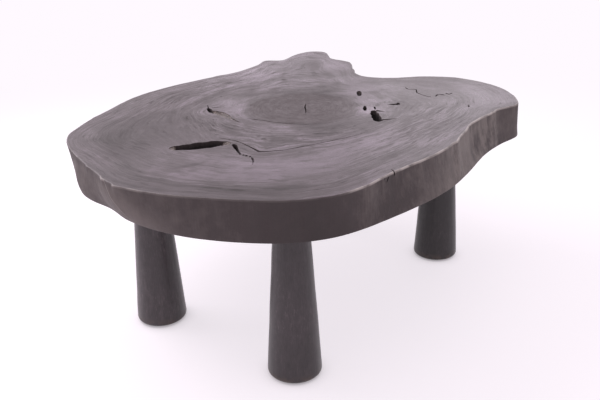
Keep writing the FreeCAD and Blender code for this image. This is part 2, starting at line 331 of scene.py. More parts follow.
# Soft shades on the top: place, half lengths along and across in millimetres, bearing in degrees, and tone.
# They are partly the wood's own tone and partly painted sheen: the pale satin patch below the slot and the
# pale patches towards the far side.
SHADES_AND_SHEEN = (
    (-360, -150, 190, 75, -55, 0.18), (-250, -245, 150, 40, -30, 0.08), (-472, -30, 66, 52, 20, -0.08),
    (-330, 190, 170, 110, 20, -0.24), (-430, 150, 60, 50, 60, -0.10), (-240, 265, 80, 32, -10, -0.12),
    (-65, 145, 96, 34, 55, 0.16), (-134, -45, 60, 18, -80, 0.16), (-190, -105, 110, 36, -35, -0.16),
    (-80, -150, 110, 34, -15, -0.20), (160, 35, 55, 34, 20, -0.10), (-180, 25, 50, 36, 80, -0.10),
    (405, 235, 56, 26, 42, -0.20), (-170, 380, 150, 14, 8, 0.08), (-85, 345, 120, 50, 0, -0.16),
    (50, -325, 190, 50, 5, -0.08), (-505, 60, 90, 28, 75, 0.06), (410, -140, 70, 70, 90, -0.10),
    (230, 270, 130, 70, 25, 0.12), (-200, 110, 60, 40, 80, -0.06), (80, 350, 200, 50, 0, 0.05),
    (-200, -292, 130, 36, -30, 0.03), (500, 325, 100, 70, 0, 0.20), (330, 350, 130, 50, 0, 0.12),
    (300, 55, 60, 50, 90, 0.16), (135, -90, 80, 36, -45, 0.16), (270, -40, 80, 50, -60, 0.08),
    (215, -35, 60, 50, 0, 0.12), (480, 235, 60, 40, 45, 0.16), (300, -300, 150, 60, 20, 0.12),
    (-280, -180, 76, 34, -55, -0.16), (420, 172, 60, 40, 45, 0.24), (60, -128, 70, 28, -40, 0.32),
    (-95, -105, 46, 26, -35, -0.16), (142, -10, 20, 44, 0, -0.12), (330, 320, 150, 60, 0, 0.05),
    (-60, 310, 70, 30, 0, -0.09), (-95, 370, 80, 24, 0, -0.06), (-165, 15, 50, 36, 80, -0.10),
    (-85, -310, 60, 28, -50, 0.10), (60, -365, 90, 24, 5, 0.10), (-415, 35, 60, 40, 60, 0.10),
    (225, 140, 50, 36, 45, 0.13), (110, 35, 60, 36, -60, -0.10), (-220, -100, 40, 24, -30, 0.10),
    (325, -340, 70, 40, 60, 0.10), (-504, -100, 70, 22, -67, -0.06), (-396, 195, 60, 32, 36, -0.10),
    (-385, 285, 40, 16, 60, 0.12), (-371, 166, 40, 8, 36, 0.12), (137, -10, 30, 24, 0, -0.10),
    (27, -82, 40, 20, -40, -0.12), (-99, -86, 36, 22, -40, -0.18), (-136, 183, 26, 18, 45, 0.14),
    (-75, 340, 50, 24, 0, -0.08), (-269, -21, 24, 20, -45, -0.10), (346, 204, 60, 40, 45, 0.09),
    (282, 85, 50, 40, 0, 0.09), (80, -106, 24, 14, -40, 0.14), (131, -37, 26, 20, 60, -0.10),
    (139, 98, 40, 16, -60, -0.10), (162, 52, 40, 14, -60, -0.10), (-467, 120, 30, 30, 0, -0.08),
    (-511, 34, 30, 24, 0, 0.07),
)
# Dark blotches on the top, in the same form: stains about the heart and the far right of it.
BLOTCHES = (
    (50, 180, 70, 16, -42, -0.24), (112, 120, 60, 18, -62, -0.22), (122, 166, 20, 11, 20, -0.30),
    (155, 100, 34, 12, -50, -0.20), (205, 72, 15, 9, 60, -0.34), (250, 60, 26, 9, 45, -0.26),
    (175, 35, 36, 14, -25, -0.20), (90, 215, 20, 11, 10, -0.26), (110, 312, 12, 8, 80, -0.30),
    (212, 202, 13, 7, 40, -0.32), (262, 242, 24, 8, 22, -0.22), (325, 142, 18, 13, 60, -0.26),
    (305, 165, 10, 7, 0, -0.24), (180, 230, 26, 8, 15, -0.18), (330, 190, 36, 8, 40, -0.16),
    (540, 315, 26, 6, 76, -0.34), (480, 300, 30, 8, 70, -0.16), (350, 345, 40, 7, 20, -0.18),
    (-225, -90, 14, 9, 30, -0.22), (-425, -42, 24, 7, -30, -0.26), (-405, -50, 12, 6, -40, -0.24),
    (-445, -60, 40, 5, -50, -0.16), (225, -60, 26, 12, -30, -0.14), (440, -60, 30, 10, -40, -0.14),
    (360, -330, 60, 14, 30, -0.08), (-60, 250, 40, 8, 20, -0.14), (20, 262, 30, 8, 10, -0.16),
)
# Where the growth rings show boldly, in the same form: the rest of the top is rubbed smooth.
BOLD_GRAIN = (
    (-200, 60, 140, 45, 78, 0.8), (-60, 330, 270, 60, 0, 0.7), (-180, -130, 140, 50, -35, 0.7),
    (60, -310, 230, 60, 5, 0.5), (-430, 190, 120, 50, 60, 0.35), (200, 180, 130, 90, 35, 0.4),
    (180, 310, 200, 50, 5, 0.5), (345, -185, 170, 130, 70, -0.33),
)
# How boldly they show everywhere else.
CALM_GRAIN = 0.41
# How much paler or darker each leg is painted, as light and shade: painted shade on the right near leg, deep
# in the slab's shadow, and painted light on the lit left far leg.
LEG_PAINTED_SHADES = {"left_near": 0.01, "right_near": -0.38, "right_far": -0.06, "left_far": 0.06}


def srgb(red, green, blue):
    """A colour given from 0 to 255 as a screen shows it, as the linear values that a shader takes."""
    shown = np.array((red, green, blue)) / 255.0
    linear = np.where(shown <= 0.04045, shown / 12.92, ((shown + 0.055) / 1.055) ** 2.4)
    return tuple(float(value) for value in linear)


def smooth_step(low, high, values):
    """0 below low, 1 above high, and an even ease between them."""
    share = np.clip((values - low) / (high - low), 0.0, 1.0)
    return share * share * (3.0 - 2.0 * share)


def lattice_noise(across, up, period, seed):
    """Smooth random heights from -1 to 1: seeded values at whole numbers, eased between them both ways.

    The pattern repeats after `period` steps across, so it closes round a ring.
    """
    rows = 64
    table = np.random.default_rng(seed).uniform(-1.0, 1.0, (period, rows))
    column = np.floor(across).astype(int)
    row = np.floor(up).astype(int)
    ease_across = smooth_step(0.0, 1.0, across - column)
    ease_up = smooth_step(0.0, 1.0, up - row)
    left, right = column % period, (column + 1) % period
    low, high = row % rows, (row + 1) % rows
    below = table[left, low] * (1 - ease_across) + table[right, low] * ease_across
    above = table[left, high] * (1 - ease_across) + table[right, high] * ease_across
    return below * (1 - ease_up) + above * ease_up


def edge_noise(turns, count, seed):
    """Smooth random heights round the live edge, with this many values in a turn."""
    return lattice_noise(turns * count, turns * 0, count, seed)


def read_places(items, key):
    """The places that a mesh's points or faces hold under this key, as one array of (item, xyz)."""
    places = np.empty(len(items) * 3)
    items.foreach_get(key, places)
    return places.reshape(-1, 3)


def store(mesh, name, domain, values):
    """Stores a number on each point or face of a mesh, for its material to read."""
    layer = mesh.attributes.new(name, "FLOAT", domain)
    layer.data.foreach_set("value", values.astype(np.float32))


def node_triangles(name):
    """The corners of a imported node's triangles, as one array of (triangle, corner, xyz)."""
    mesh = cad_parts[name].data
    mesh.calc_loop_triangles()
    corners = np.empty(len(mesh.loop_triangles) * 3, dtype=np.int32)
    mesh.loop_triangles.foreach_get("vertices", corners)
    return read_places(mesh.vertices, "co")[corners].reshape(-1, 3, 3)


def section_radii(triangles, height, centre, angles):
    """How far a solid reaches from a centre along each angle, in its section at one height.

    Each triangle that the height cuts leaves a segment P-Q. A ray with direction d meets it at
    cross(P, Q) / cross(d, Q - P) where P and Q lie on its two sides, and the farthest meeting counts.
    """
    rise = triangles[:, :, 2] - height
    following = np.roll(triangles, -1, axis=1)
    following_rise = np.roll(rise, -1, axis=1)
    cut = rise * following_rise < 0
    crossed = cut.sum(axis=1) == 2
    rise, following_rise, cut = rise[crossed], following_rise[crossed], cut[crossed]
    share = rise / np.where(cut, rise - following_rise, 1.0)
    places = triangles[crossed] + (following[crossed] - triangles[crossed]) * share[..., None]
    segments = places[cut].reshape(-1, 2, 3)[..., :2] - centre
    start, end = segments[:, 0], segments[:, 1]
    ray_x, ray_y = np.cos(angles)[:, None], np.sin(angles)[:, None]
    side_start = ray_x * start[:, 1] - ray_y * start[:, 0]
    side_end = ray_x * end[:, 1] - ray_y * end[:, 0]
    turn = side_end - side_start
    meets = (side_start * side_end <= 0) & (turn != 0)
    reach = (start[:, 0] * end[:, 1] - start[:, 1] * end[:, 0]) / np.where(meets, turn, 1.0)
    return np.where(meets, reach, 0.0).max(axis=1)


def smooth_round(values, spread):
    """Values round a ring, each blended with its neighbours by a bell curve that many steps wide."""
    steps = np.arange(-4 * spread, 4 * spread + 1)
    bell = np.exp(-0.5 * (steps / spread) ** 2)
    padded = np.concatenate((values[-4 * spread:], values, values[:4 * spread]))
    return np.convolve(padded, bell / bell.sum(), mode="valid")


class LiveEdge:
    """The slab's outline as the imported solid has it: reach from the heart by angle, at three heights."""

    SURVEY_ANGLES = 3600
    SURVEY_BLEND = 4
    WALL_SHARES = (0.05, 0.5, 0.95)

    def __init__(self):
        low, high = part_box(SLAB_NODE)
        self.bottom, self.top = low.z, high.z
        self.angles = np.linspace(-np.pi, np.pi, self.SURVEY_ANGLES, endpoint=False)
        self.heights = self.bottom + np.array(self.WALL_SHARES) * (self.top - self.bottom)
        triangles = node_triangles(SLAB_NODE)
        sections = [section_radii(triangles, height, HEART, self.angles) for height in self.heights]
        self.radii = np.stack([smooth_round(section, self.SURVEY_BLEND) for section in sections])
        reach = self.radii[-1]
        outline = np.stack((reach * np.cos(self.angles), reach * np.sin(self.angles)), axis=1)
        steps = np.linalg.norm(np.roll(outline, -1, axis=0) - outline, axis=1)
        walked = np.concatenate(([0.0], np.cumsum(steps)))
        self.length = walked[-1]
        self.turns = walked / self.length

    def reach(self, angles, heights):
        """The wall's reach at any angle and height: a parabola in height through the surveyed outlines."""
        low, middle, high = [np.interp(angles, self.angles, row, period=2 * np.pi) for row in self.radii]
        share = (heights - self.heights[0]) / (self.heights[2] - self.heights[0])
        low_part = low * (1 - share) * (1 - 2 * share)
        middle_part = middle * 4 * share * (1 - share)
        return low_part + middle_part + high * share * (2 * share - 1)

    def turn_at(self, angles):
        """The turn, from 0 to 1 in equal steps along the rim, that an angle about the heart points to."""
        return np.interp(angles, np.append(self.angles, np.pi), self.turns)

    def angle_at(self, turns):
        """The angle about the heart of each turn."""
        return np.interp(turns, self.turns, np.append(self.angles, np.pi))


def about_heart(places):
    """The angle of each place about the heart, and its distance from it."""
    gap = places[:, :2] - HEART
    return np.arctan2(gap[:, 1], gap[:, 0]), np.hypot(gap[:, 0], gap[:, 1])


def ring_numbers(places, edge):
    """The growth ring that each place on the slab lies in, as its mean distance from the pith.

    A ring is a circle near the pith and a smaller copy of the live edge near the rim, eased from one to
    the other, less a bell-shaped pull at each knot.
    """
    angle, radius = about_heart(places)
    rim = np.interp(angle, edge.angles, edge.radii[-1], period=2 * np.pi)
    share = radius / rim
    outer = smooth_step(*RING_SHARES, share)
    from_pith = np.hypot(places[:, 0] - PITH[0], places[:, 1] - PITH[1])
    ring = from_pith * (1 - outer) + share * MEAN_RADIUS * outer
    for x, y, reach, pull in KNOTS:
        gap = (places[:, 0] - x * MM) ** 2 + (places[:, 1] - y * MM) ** 2
        ring = ring - pull * MM * np.exp(-gap / (2 * (reach * MM) ** 2))
    return ring


def by_turns(table, turns):
    """The shares of a table of (turn, share), at any turns round the live edge."""
    places, shares = np.array(table).T
    return np.interp(turns % 1.0, places, shares)


def crest_gap(ridge, turns, height_share, length):
    """How far along the wall a place lies past the crest of a ridge, in metres."""
    at_top, at_foot = ridge[:2]
    crest = at_foot + (at_top - at_foot) * height_share
    return ((turns - crest + 0.5) % 1.0 - 0.5) * length


def ridge_relief(ridge, turns, height_share, length):
    """How far a ridge stands out, in metres: a straight fall to both sides of a leaning, rounded crest."""
    height, before, after = ridge[2:]
    gap = crest_gap(ridge, turns, height_share, length)
    fall = np.where(gap < 0, before, after) * MM
    return height * MM * np.maximum(0.0, 1.0 - np.sqrt((gap / fall) ** 2 + CREST_ROUND))


def wall_relief(turns, length, height_share, settings):
    """How far the live edge stands out from its smooth wall, in metres.

    Broad swells, upright flutes that lean a little, and fine fibres, each a lattice noise with its own
    spacing and stronger where the wall is worn, with the ridges and the swollen nose added.
    """
    wear = by_turns(WALL_WEAR_AND_SHADE, turns)
    swell = lattice_noise(turns * SWELLS, height_share * 1.2, SWELLS, SEEDS["swells"])
    leaning_turns = turns * FLUTES + height_share * 0.5
    flutes = lattice_noise(leaning_turns, height_share * 0.7 + 7, FLUTES, SEEDS["flutes"])
    slim_turns = turns * SLIM_FLUTES + height_share * 0.8
    slim = lattice_noise(slim_turns, height_share * 1.3, SLIM_FLUTES, SEEDS["slim_flutes"])
    fibres = lattice_noise(turns * FIBRES, height_share * 5, FIBRES, SEEDS["fibres"])
    relief = settings.swell * swell * (0.25 + 0.75 * wear)
    relief += settings.flute * wear * (flutes + 0.45 * slim)
    relief += settings.fibre * fibres * (0.3 + 0.7 * wear)
    for ridge in RIDGES:
        relief += ridge_relief(ridge, turns, height_share, length)
    nose_ridge = ridge_relief(NOSE_RIDGE, turns, height_share, length)
    relief += nose_ridge * smooth_step(*NOSE_RIDGE_RISE, height_share)
    for chip in RIM_CHIPS:
        relief += ridge_relief(chip, turns, height_share, length) * smooth_step(*CHIP_RISE, height_share)
    relief = relief * smooth_step(*RELIEF_RISE, height_share)
    turn, share, reach, rise, height = NOSE_BELLY
    belly = np.exp(-((turns - turn) / reach) ** 2 - ((height_share - share) / rise) ** 2)
    return relief + height * MM * belly


def grid_faces(rows, columns):
    """Quads between neighbouring rows of a grid that closes on itself across its columns."""
    index = np.arange(rows * columns).reshape(rows, columns)
    beside = np.roll(index, -1, axis=1)
    return np.stack((index[:-1], beside[:-1], beside[1:], index[1:]), axis=-1).reshape(-1, 4)


def closed_mesh(name, *grids, hollow=False):
    """A mesh of closed shells, each from rings of points, (row, column, xyz).

    A shell has a middle point in either end. A hollow one has none: its last ring joins on to its first.
    """
    points, faces = [], []
    start = 0
    for rows in grids:
        count, columns = rows.shape[:2]
        ring = np.arange(columns)
        beside = np.roll(ring, -1)
        last_row = (count - 1) * columns
        points.append(rows.reshape(-1, 3))
        if hollow:
            ends = [np.stack((last_row + ring, last_row + beside, beside, ring), axis=1)]
        else:
            middle = np.full(columns, count * columns)
            low_fan = np.stack((beside, ring, middle), axis=1)
            high_fan = np.stack((last_row + ring, last_row + beside, middle + 1), axis=1)
            ends = [low_fan, high_fan]
            points += [rows[:1].mean(axis=1), rows[-1:].mean(axis=1)]
        for part in (grid_faces(count, columns), *ends):
            faces += (part + start).tolist()
        start = sum(len(part) for part in points)
    mesh = bpy.data.meshes.new(name)
    mesh.from_pydata(np.concatenate(points).tolist(), [], faces)
    mesh.update()
    return mesh


def slab_rows(edge, settings):
    """The slab's skin as rings of points, from the middle of the underside, out, up the wall and back in.

    Underside and top are copies of their rim drawn in towards the heart. Each rim is a quarter round:
    its points go in by the radius times one less a cosine as they go up by the radius times a sine.
    The ring where the wall meets the upper round is given as well.
    """
    turns = np.arange(settings.columns) / settings.columns
    angles = edge.angle_at(turns)
    rays = np.stack((np.cos(angles), np.sin(angles)), axis=1)
    rim = rays * edge.reach(angles, edge.heights[2])[:, None]
    tangent = np.roll(rim, -1, axis=0) - np.roll(rim, 1, axis=0)
    facing = np.stack((tangent[:, 1], -tangent[:, 0]), axis=1)
    facing /= np.linalg.norm(facing, axis=1)[:, None]

    nose = smooth_step(*NOSE_FACES, facing @ NOSE_WAY)
    upper = settings.rim_ease * (1.0 + 0.35 * edge_noise(turns, UPPER_WAVERS, SEEDS["upper_rim"]))
    lower = settings.rim_ease * (0.8 + 0.3 * edge_noise(turns, LOWER_WAVERS, SEEDS["lower_rim"]))
    lower = lower + settings.nose_round * nose

    quarter = np.linspace(0.0, np.pi / 2, settings.rim_rows)[:, None]
    low_heights = edge.bottom + lower * (1 - np.cos(quarter))
    low_insets = lower * (1 - np.sin(quarter))
    climb = np.linspace(0.0, 1.0, settings.wall_rows + 2)[1:-1, None]
    wall_heights = (edge.bottom + lower) * (1 - climb) + (edge.top - upper) * climb
    high_heights = edge.top - upper * (1 - np.sin(quarter))
    high_insets = upper * (1 - np.cos(quarter))
    heights = np.concatenate((low_heights, wall_heights, high_heights, high_heights[-1:]))
    insets = np.concatenate((low_insets, wall_heights * 0, high_insets, high_insets[-1:] + BRIM))

    height_share = (heights - edge.bottom) / (edge.top - edge.bottom)
    relief = wall_relief(turns, edge.length, height_share, settings)
    reach = edge.reach(angles, heights)
    offset = relief - insets
    shell = np.empty(heights.shape + (3,))
    shell[..., :2] = HEART + rays * reach[..., None] + facing * offset[..., None]
    shell[..., 2] = heights

    def drawn_in(ring, rows):
        """Smaller and smaller copies of a ring, in towards the heart, closest together beside the ring."""
        shrink = (1.0 - (np.arange(1, rows) / rows) ** 1.5)[:, None, None]
        inner = np.empty((rows - 1,) + ring.shape)
        inner[..., :2] = HEART + (ring[:, :2] - HEART) * shrink
        inner[..., 2] = ring[:, 2]
        return inner

    underside = drawn_in(shell[0], settings.underside_rows)[::-1]
    rim = shell[-1 - settings.rim_rows]
    return np.concatenate((underside, shell, drawn_in(shell[-1], settings.top_rows))), rim


def carved_line(points, downs, seed):
    """The wood missing along one crooked line, as rings of points from its first end to its last.

    The line is walked in short steps. At each step the ring is a lens across the line: its offset is the
    half width times a power of a cosine, its depth the depth there times the square root of a sine, and
    its upper half closes just outside the wood. Both walls waver by a lattice noise, and at both ends
    the half width falls off as a half circle does.
    """
    knots = np.array(points, dtype=float) * MM
    gaps = np.linalg.norm(np.diff(knots[:, :3], axis=0), axis=1)
    walked = np.concatenate(([0.0], np.cumsum(gaps)))
    steps = max(CUT_FEWEST_STEPS, int(walked[-1] / CUT_STEP))
    wanted = np.linspace(0.0, walked[-1], steps)
    path = np.stack([np.interp(wanted, walked, column) for column in knots.T], axis=1)
    path[1:-1] = (path[:-2] + 2 * path[1:-1] + path[2:]) / 4
    tangent = np.gradient(path[:, :3], axis=0)
    across = np.cross(tangent, downs)
    across /= np.linalg.norm(across, axis=1)[:, None]

    turn = np.linspace(0.0, 2 * np.pi, CUT_SIDES, endpoint=False)
    cosine, sine = np.cos(turn), np.sin(turn)
    both_walls = np.sign(cosine)[None, :] * 3 + 0.8 * sine
    sway = lattice_noise(wanted[:, None] / CUT_WAVER_LENGTH, both_walls, CUT_WAVERS, seed)
    from_end = np.minimum(wanted, walked[-1] - wanted) / np.maximum(path[:, 3], CUT_LEAST)
    rounded = np.sqrt(1 - (1 - np.clip(from_end, CUT_BLUNT, 1.0)) ** 2)
    half_width = (path[:, 3] * rounded)[:, None] * (1 + CUT_WAVER * sway)
    depth = (path[:, 4] * np.sqrt(rounded))[:, None]
    down = np.where(sine < 0, depth * np.sqrt(np.abs(sine)), -CUT_OVERLAP * np.sqrt(np.abs(sine)))
    offset = half_width * np.sign(cosine) * np.abs(cosine) ** CUT_FULLNESS
    aside = path[:, None, :3] + across[:, None, :] * offset[..., None]
    return aside + np.asarray(downs) * down[..., None]


def lathe_rows(radii, heights, centre, columns):
    """Rings about an upright axis: at each row's height one radius, or one for each column."""
    angles = np.linspace(0.0, 2 * np.pi, columns, endpoint=False)
    radii = np.broadcast_to(np.reshape(radii, (len(heights), -1)), (len(heights), columns))
    rows = np.empty((len(heights), columns, 3))
    rows[..., 0] = centre[0] + radii * np.cos(angles)
    rows[..., 1] = centre[1] + radii * np.sin(angles)
    rows[..., 2] = np.reshape(heights, (-1, 1))
    return rows


def node_centre(name):
    """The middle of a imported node's box, seen from above, with its lowest and highest point."""
    low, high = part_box(name)
    return np.array(((low.x + high.x) / 2, (low.y + high.y) / 2)), low.z, high.z


def node_radius(name):
    """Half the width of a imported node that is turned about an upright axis."""
    low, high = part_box(name)
    return (high.x - low.x) / 2


def add_piece(name, mesh, material, slot, *nodes):
    """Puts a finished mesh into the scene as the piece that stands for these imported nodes."""
    piece = bpy.data.objects.new(name, mesh)
    bpy.context.collection.objects.link(piece)
    mesh.materials.clear()
    mesh.materials.append(material)
    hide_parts(*nodes)
    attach(piece, "root")
    return piece


def smooth_shade(mesh, sharp_degrees):
    """Smooth shading, broken where two faces meet at more than this angle."""
    mesh.shade_smooth()
    mesh.set_sharp_from_angle(angle=math.radians(sharp_degrees))


class NodeDesk:
    """Lays out the nodes of a material or world: each method adds a node and gives back its output."""

    # Where a node that mixes colours takes its two colours, and where it gives their mixture.
    FIRST_COLOUR = 6
    SECOND_COLOUR = 7
    MIXED_COLOUR = 2

    def __init__(self, owner):
        self.owner = owner
        owner.use_nodes = True
        self.tree = owner.node_tree
        self.tree.nodes.clear()

    def node(self, kind, settings=None, **inputs):
        """A node of this kind; an input is a number, a colour, or another node's output."""
        node = self.tree.nodes.new(kind)
        for key, value in (settings or {}).items():
            setattr(node, key, value)
        for key, value in inputs.items():
            self.feed(node.inputs[key.replace("_", " ")], value)
        return node

    def feed(self, socket, value):
        """Links an output to a socket, or sets the socket's own value."""
        if isinstance(value, bpy.types.NodeSocket):
            self.tree.links.new(value, socket)
        elif socket.type == "RGBA" and len(value) == 3:
            socket.default_value = (*value, 1.0)
        else:
            socket.default_value = value

    def joined(self, kind, *values, settings=None):
        """A node of this kind, with its inputs fed in their order."""
        node = self.node(kind, settings)
        for socket, value in zip(node.inputs, values):
            self.feed(socket, value)
        return node

    def math(self, operation, *values):
        """A sum of this kind, of one or two numbers or outputs."""
        return self.joined("ShaderNodeMath", *values, settings={"operation": operation}).outputs[0]

    def vector_math(self, operation, *values):
        """A sum of this kind, of one or two vectors."""
        return self.joined("ShaderNodeVectorMath", *values, settings={"operation": operation})

    def sum(self, *values):
        """The sum of numbers and outputs."""
        total = values[0]
        for value in values[1:]:
            total = self.math("ADD", total, value)
        return total

    def times(self, first, second):
        """One number or output multiplied by another."""
        return self.math("MULTIPLY", first, second)

    def about_middle(self, value, weight):
        """How far a value from 0 to 1 lies above its middle, times a weight."""
        return self.times(self.math("SUBTRACT", value, 0.5), weight)

    def ease(self, value, low, high, start=0.0, end=1.0):
        """The value moved smoothly from start to end as it goes from low to high."""
        node = self.node("ShaderNodeMapRange", {"interpolation_type": "SMOOTHSTEP"}, Value=value)
        for socket, number in zip(("From Min", "From Max", "To Min", "To Max"), (low, high, start, end)):
            node.inputs[socket].default_value = number
        return node.outputs[0]

    def noise(self, vector, scale=1.0, detail=3.0, roughness=0.55, distortion=0.0):
        """Fractal noise from 0 to 1."""
        form = {"Scale": scale, "Detail": detail, "Roughness": roughness, "Distortion": distortion}
        return self.node("ShaderNodeTexNoise", Vector=vector, **form).outputs["Fac"]

    def attribute(self, name):
        """A value that is stored on the mesh."""
        return self.node("ShaderNodeAttribute", {"attribute_name": name}).outputs["Fac"]

    def place(self):
        """Object coordinates, in metres from the frame's origin."""
        return self.node("ShaderNodeTexCoord").outputs["Object"]

    def stretched(self, vector, factors):
        """The vector with each part multiplied by its factor."""
        return self.vector_math("MULTIPLY", vector, factors).outputs[0]

    def mix(self, factor, first, second):
        """A colour between two, by a factor from 0 to 1."""
        node = self.node("ShaderNodeMix", {"data_type": "RGBA"}, Factor=factor)
        self.feed(node.inputs[self.FIRST_COLOUR], first)
        self.feed(node.inputs[self.SECOND_COLOUR], second)
        return node.outputs[self.MIXED_COLOUR]

    def ramp(self, factor, *stops):
        """A colour that passes through (position, colour) stops."""
        node = self.node("ShaderNodeValToRGB", Fac=factor)
        elements = node.color_ramp.elements
        while len(elements) < len(stops):
            elements.new(0.5)
        for element, (position, colour) in zip(elements, stops):
            element.position = position
            element.color = (*colour, 1.0)
        return node.outputs["Color"]

    def tones(self, tone, dark, middle, pale):
        """A colour that goes from dark at tone 0 through the middle one to pale at tone 1."""
        return self.ramp(tone, (0.0, dark), (0.5, middle), (1.0, pale))

    def bump(self, height, distance, strength=1.0, below=None):
        """A normal tilted by a height, on top of another one if that is given."""
        node = self.node("ShaderNodeBump", Height=height, Distance=distance, Strength=strength)
        if below is not None:
            self.feed(node.inputs["Normal"], below)
        return node.outputs[0]

    def seen(self):
        """1 on rays from the camera, also by a mirror or glass, and 0 on rays that only carry light."""
        path = self.node("ShaderNodeLightPath").outputs
        mirrored = self.math("MAXIMUM", path["Is Glossy Ray"], path["Is Transmission Ray"])
        return self.math("MAXIMUM", path["Is Camera Ray"], mirrored)

    def surface(self, colour, roughness, normal, specular=0.5, metallic=0.0):
        """The material, finished as a surface of these parts."""
        look = {"Base_Color": colour, "Roughness": roughness, "Metallic": metallic, "Normal": normal}
        node = self.node("ShaderNodeBsdfPrincipled", Specular_IOR_Level=specular, **look)
        return self.finished(node.outputs[0])

    def finished(self, shader, kind="ShaderNodeOutputMaterial"):
        """The material or world, with this shader as its output."""
        self.node(kind, Surface=shader)
        return self.owner


def new_material(name):
    """A desk for a new material."""
    return NodeDesk(bpy.data.materials.new(name))


def charred_slab_material(settings):
    """Charred end grain on the top, fluted charred wood on the wall, soot and painted shade in the pockets.
    """
    desk = new_material("charred_slab")
    about_middle = desk.about_middle
    place = desk.place()
    ring, edge, cut, burnt_and_shaded = map(desk.attribute, ("ring", "edge", "cut", "soot"))
    shade, bold, relief, wear = map(desk.attribute, ("shade", "bold", "relief", "wear"))
    rim_wear, wall_shade, nose_crest = map(desk.attribute, ("rim_wear", "wall_shade", "nose_crest"))

    # The way from the pith, and the growth rings with a waver in them.
    to_pith = desk.node("ShaderNodeMapping", Vector=place, Location=(-PITH[0], -PITH[1], 0.0))
    flat = desk.stretched(to_pith.outputs[0], (1.0, 1.0, 0.0))
    way = desk.vector_math("NORMALIZE", flat).outputs[0]
    way_x, way_y, _ = desk.node("ShaderNodeSeparateXYZ", Vector=way).outputs
    warp = desk.noise(place, scale=9.0, detail=2.0)
    ripple = desk.noise(place, scale=38.0, detail=2.0)
    wavy_ring = desk.sum(ring, about_middle(warp, 0.018), about_middle(ripple, 0.006))

    def ring_noise(per_metre, round_scale, detail, roughness=0.6):
        """Noise that changes fast from ring to ring and slowly along a ring."""
        across = desk.times(wavy_ring, per_metre)
        along = [desk.times(part, round_scale) for part in (way_x, way_y)]
        vector = desk.joined("ShaderNodeCombineXYZ", across, *along).outputs[0]
        return desk.noise(vector, detail=detail, roughness=roughness)

    # End grain of the top, with the heartwood and the paler ring round it.
    broad = ring_noise(22.0, 1.1, 2.0)
    bands = ring_noise(120.0, 3.0, 5.0, 0.74)
    fine = ring_noise(1.0 / settings.ring_width, 3.5, 3.0)
    lines = desk.ease(ring_noise(150.0, 1.6, 2.0), 0.30, 0.40)
    patches = desk.noise(place, scale=4.5, detail=4.0)
    fibres = desk.noise(place, scale=900.0, detail=2.0)
    blots = ring_noise(42.0, 5.0, 3.0)
    mottle = desk.noise(place, scale=34.0, detail=4.0, roughness=0.65)
    dashes = desk.ease(ring_noise(170.0, 9.0, 2.0), 0.30, 0.42, -1.0, 0.0)
    lobes = desk.noise(place, scale=5.5, detail=1.0)
    heart_ring = desk.sum(ring, about_middle(warp, 0.020), about_middle(lobes, 0.030))
    heart = desk.ease(heart_ring, *HEARTWOOD_ENDS, 1.0, 0.0)
    halo = desk.times(desk.ease(ring, *HALO_STARTS), desk.ease(ring, *HALO_ENDS, 1.0, 0.0))

    rings = desk.sum(
        about_middle(bands, 0.95), about_middle(fine, 0.95), about_middle(blots, 0.5),
        desk.times(lines, 0.18), desk.times(dashes, 0.40),
    )
    boldness = desk.sum(bold, desk.times(heart, 0.42))
    # The shade brings in the top's patches of tone, with painted sheen in some pale ones.
    variety = desk.sum(
        shade, about_middle(broad, 0.35), about_middle(patches, 0.45), about_middle(fibres, 0.4),
        about_middle(mottle, 0.30), desk.times(heart, -0.29), desk.times(halo, 0.05),
        desk.times(desk.math("SUBTRACT", rings, 0.13), boldness),
    )
    tone = desk.sum(0.47, desk.times(variety, settings.contrast))
    grain = desk.tones(tone, settings.dark_grain, settings.middle_grain, settings.pale_grain)
    grain = desk.mix(desk.times(heart, 0.40), grain, settings.heartwood)

    # Charred wood of the wall, with painted shade where it turns away from the light.
    streaks = desk.noise(desk.stretched(place, (55.0, 55.0, 5.0)), detail=4.0, roughness=0.62)
    hair = desk.noise(desk.stretched(place, (420.0, 420.0, 22.0)), detail=2.0)
    stains = desk.noise(place, scale=7.0, detail=3.0)
    streak_tone = desk.sum(about_middle(streaks, 1.7), about_middle(hair, 0.6))
    clouds = desk.sum(about_middle(stains, 0.50), about_middle(mottle, 0.55))
    wall_tone = desk.sum(
        wall_shade, desk.times(streak_tone, desk.sum(desk.times(wear, wear), 0.11)),
        desk.times(clouds, desk.sum(desk.times(wear, 1.1), 0.35)), desk.times(relief, 60.0),
    )
    wall_colours = (settings.wall_dark, settings.wall_middle, settings.wall_pale)
    wall = desk.tones(wall_tone, *wall_colours)

    # Top, wall and sawn underside, each where the face looks its way.
    normal = desk.node("ShaderNodeNewGeometry").outputs["True Normal"]
    up = desk.node("ShaderNodeSeparateXYZ", Vector=normal).outputs[2]
    top_share = desk.ease(up, 0.55, 0.97)
    under_share = desk.ease(up, -0.97, -0.55, 1.0, 0.0)
    side_share = desk.math("SUBTRACT", desk.math("SUBTRACT", 1.0, top_share), under_share)
    colour = desk.mix(top_share, wall, grain)
    under_tone = desk.sum(
        0.30, about_middle(bands, 0.5), about_middle(fine, 0.4), about_middle(patches, 0.5),
        about_middle(mottle, 0.4),
    )
    colour = desk.mix(under_share, colour, desk.tones(under_tone, *wall_colours))
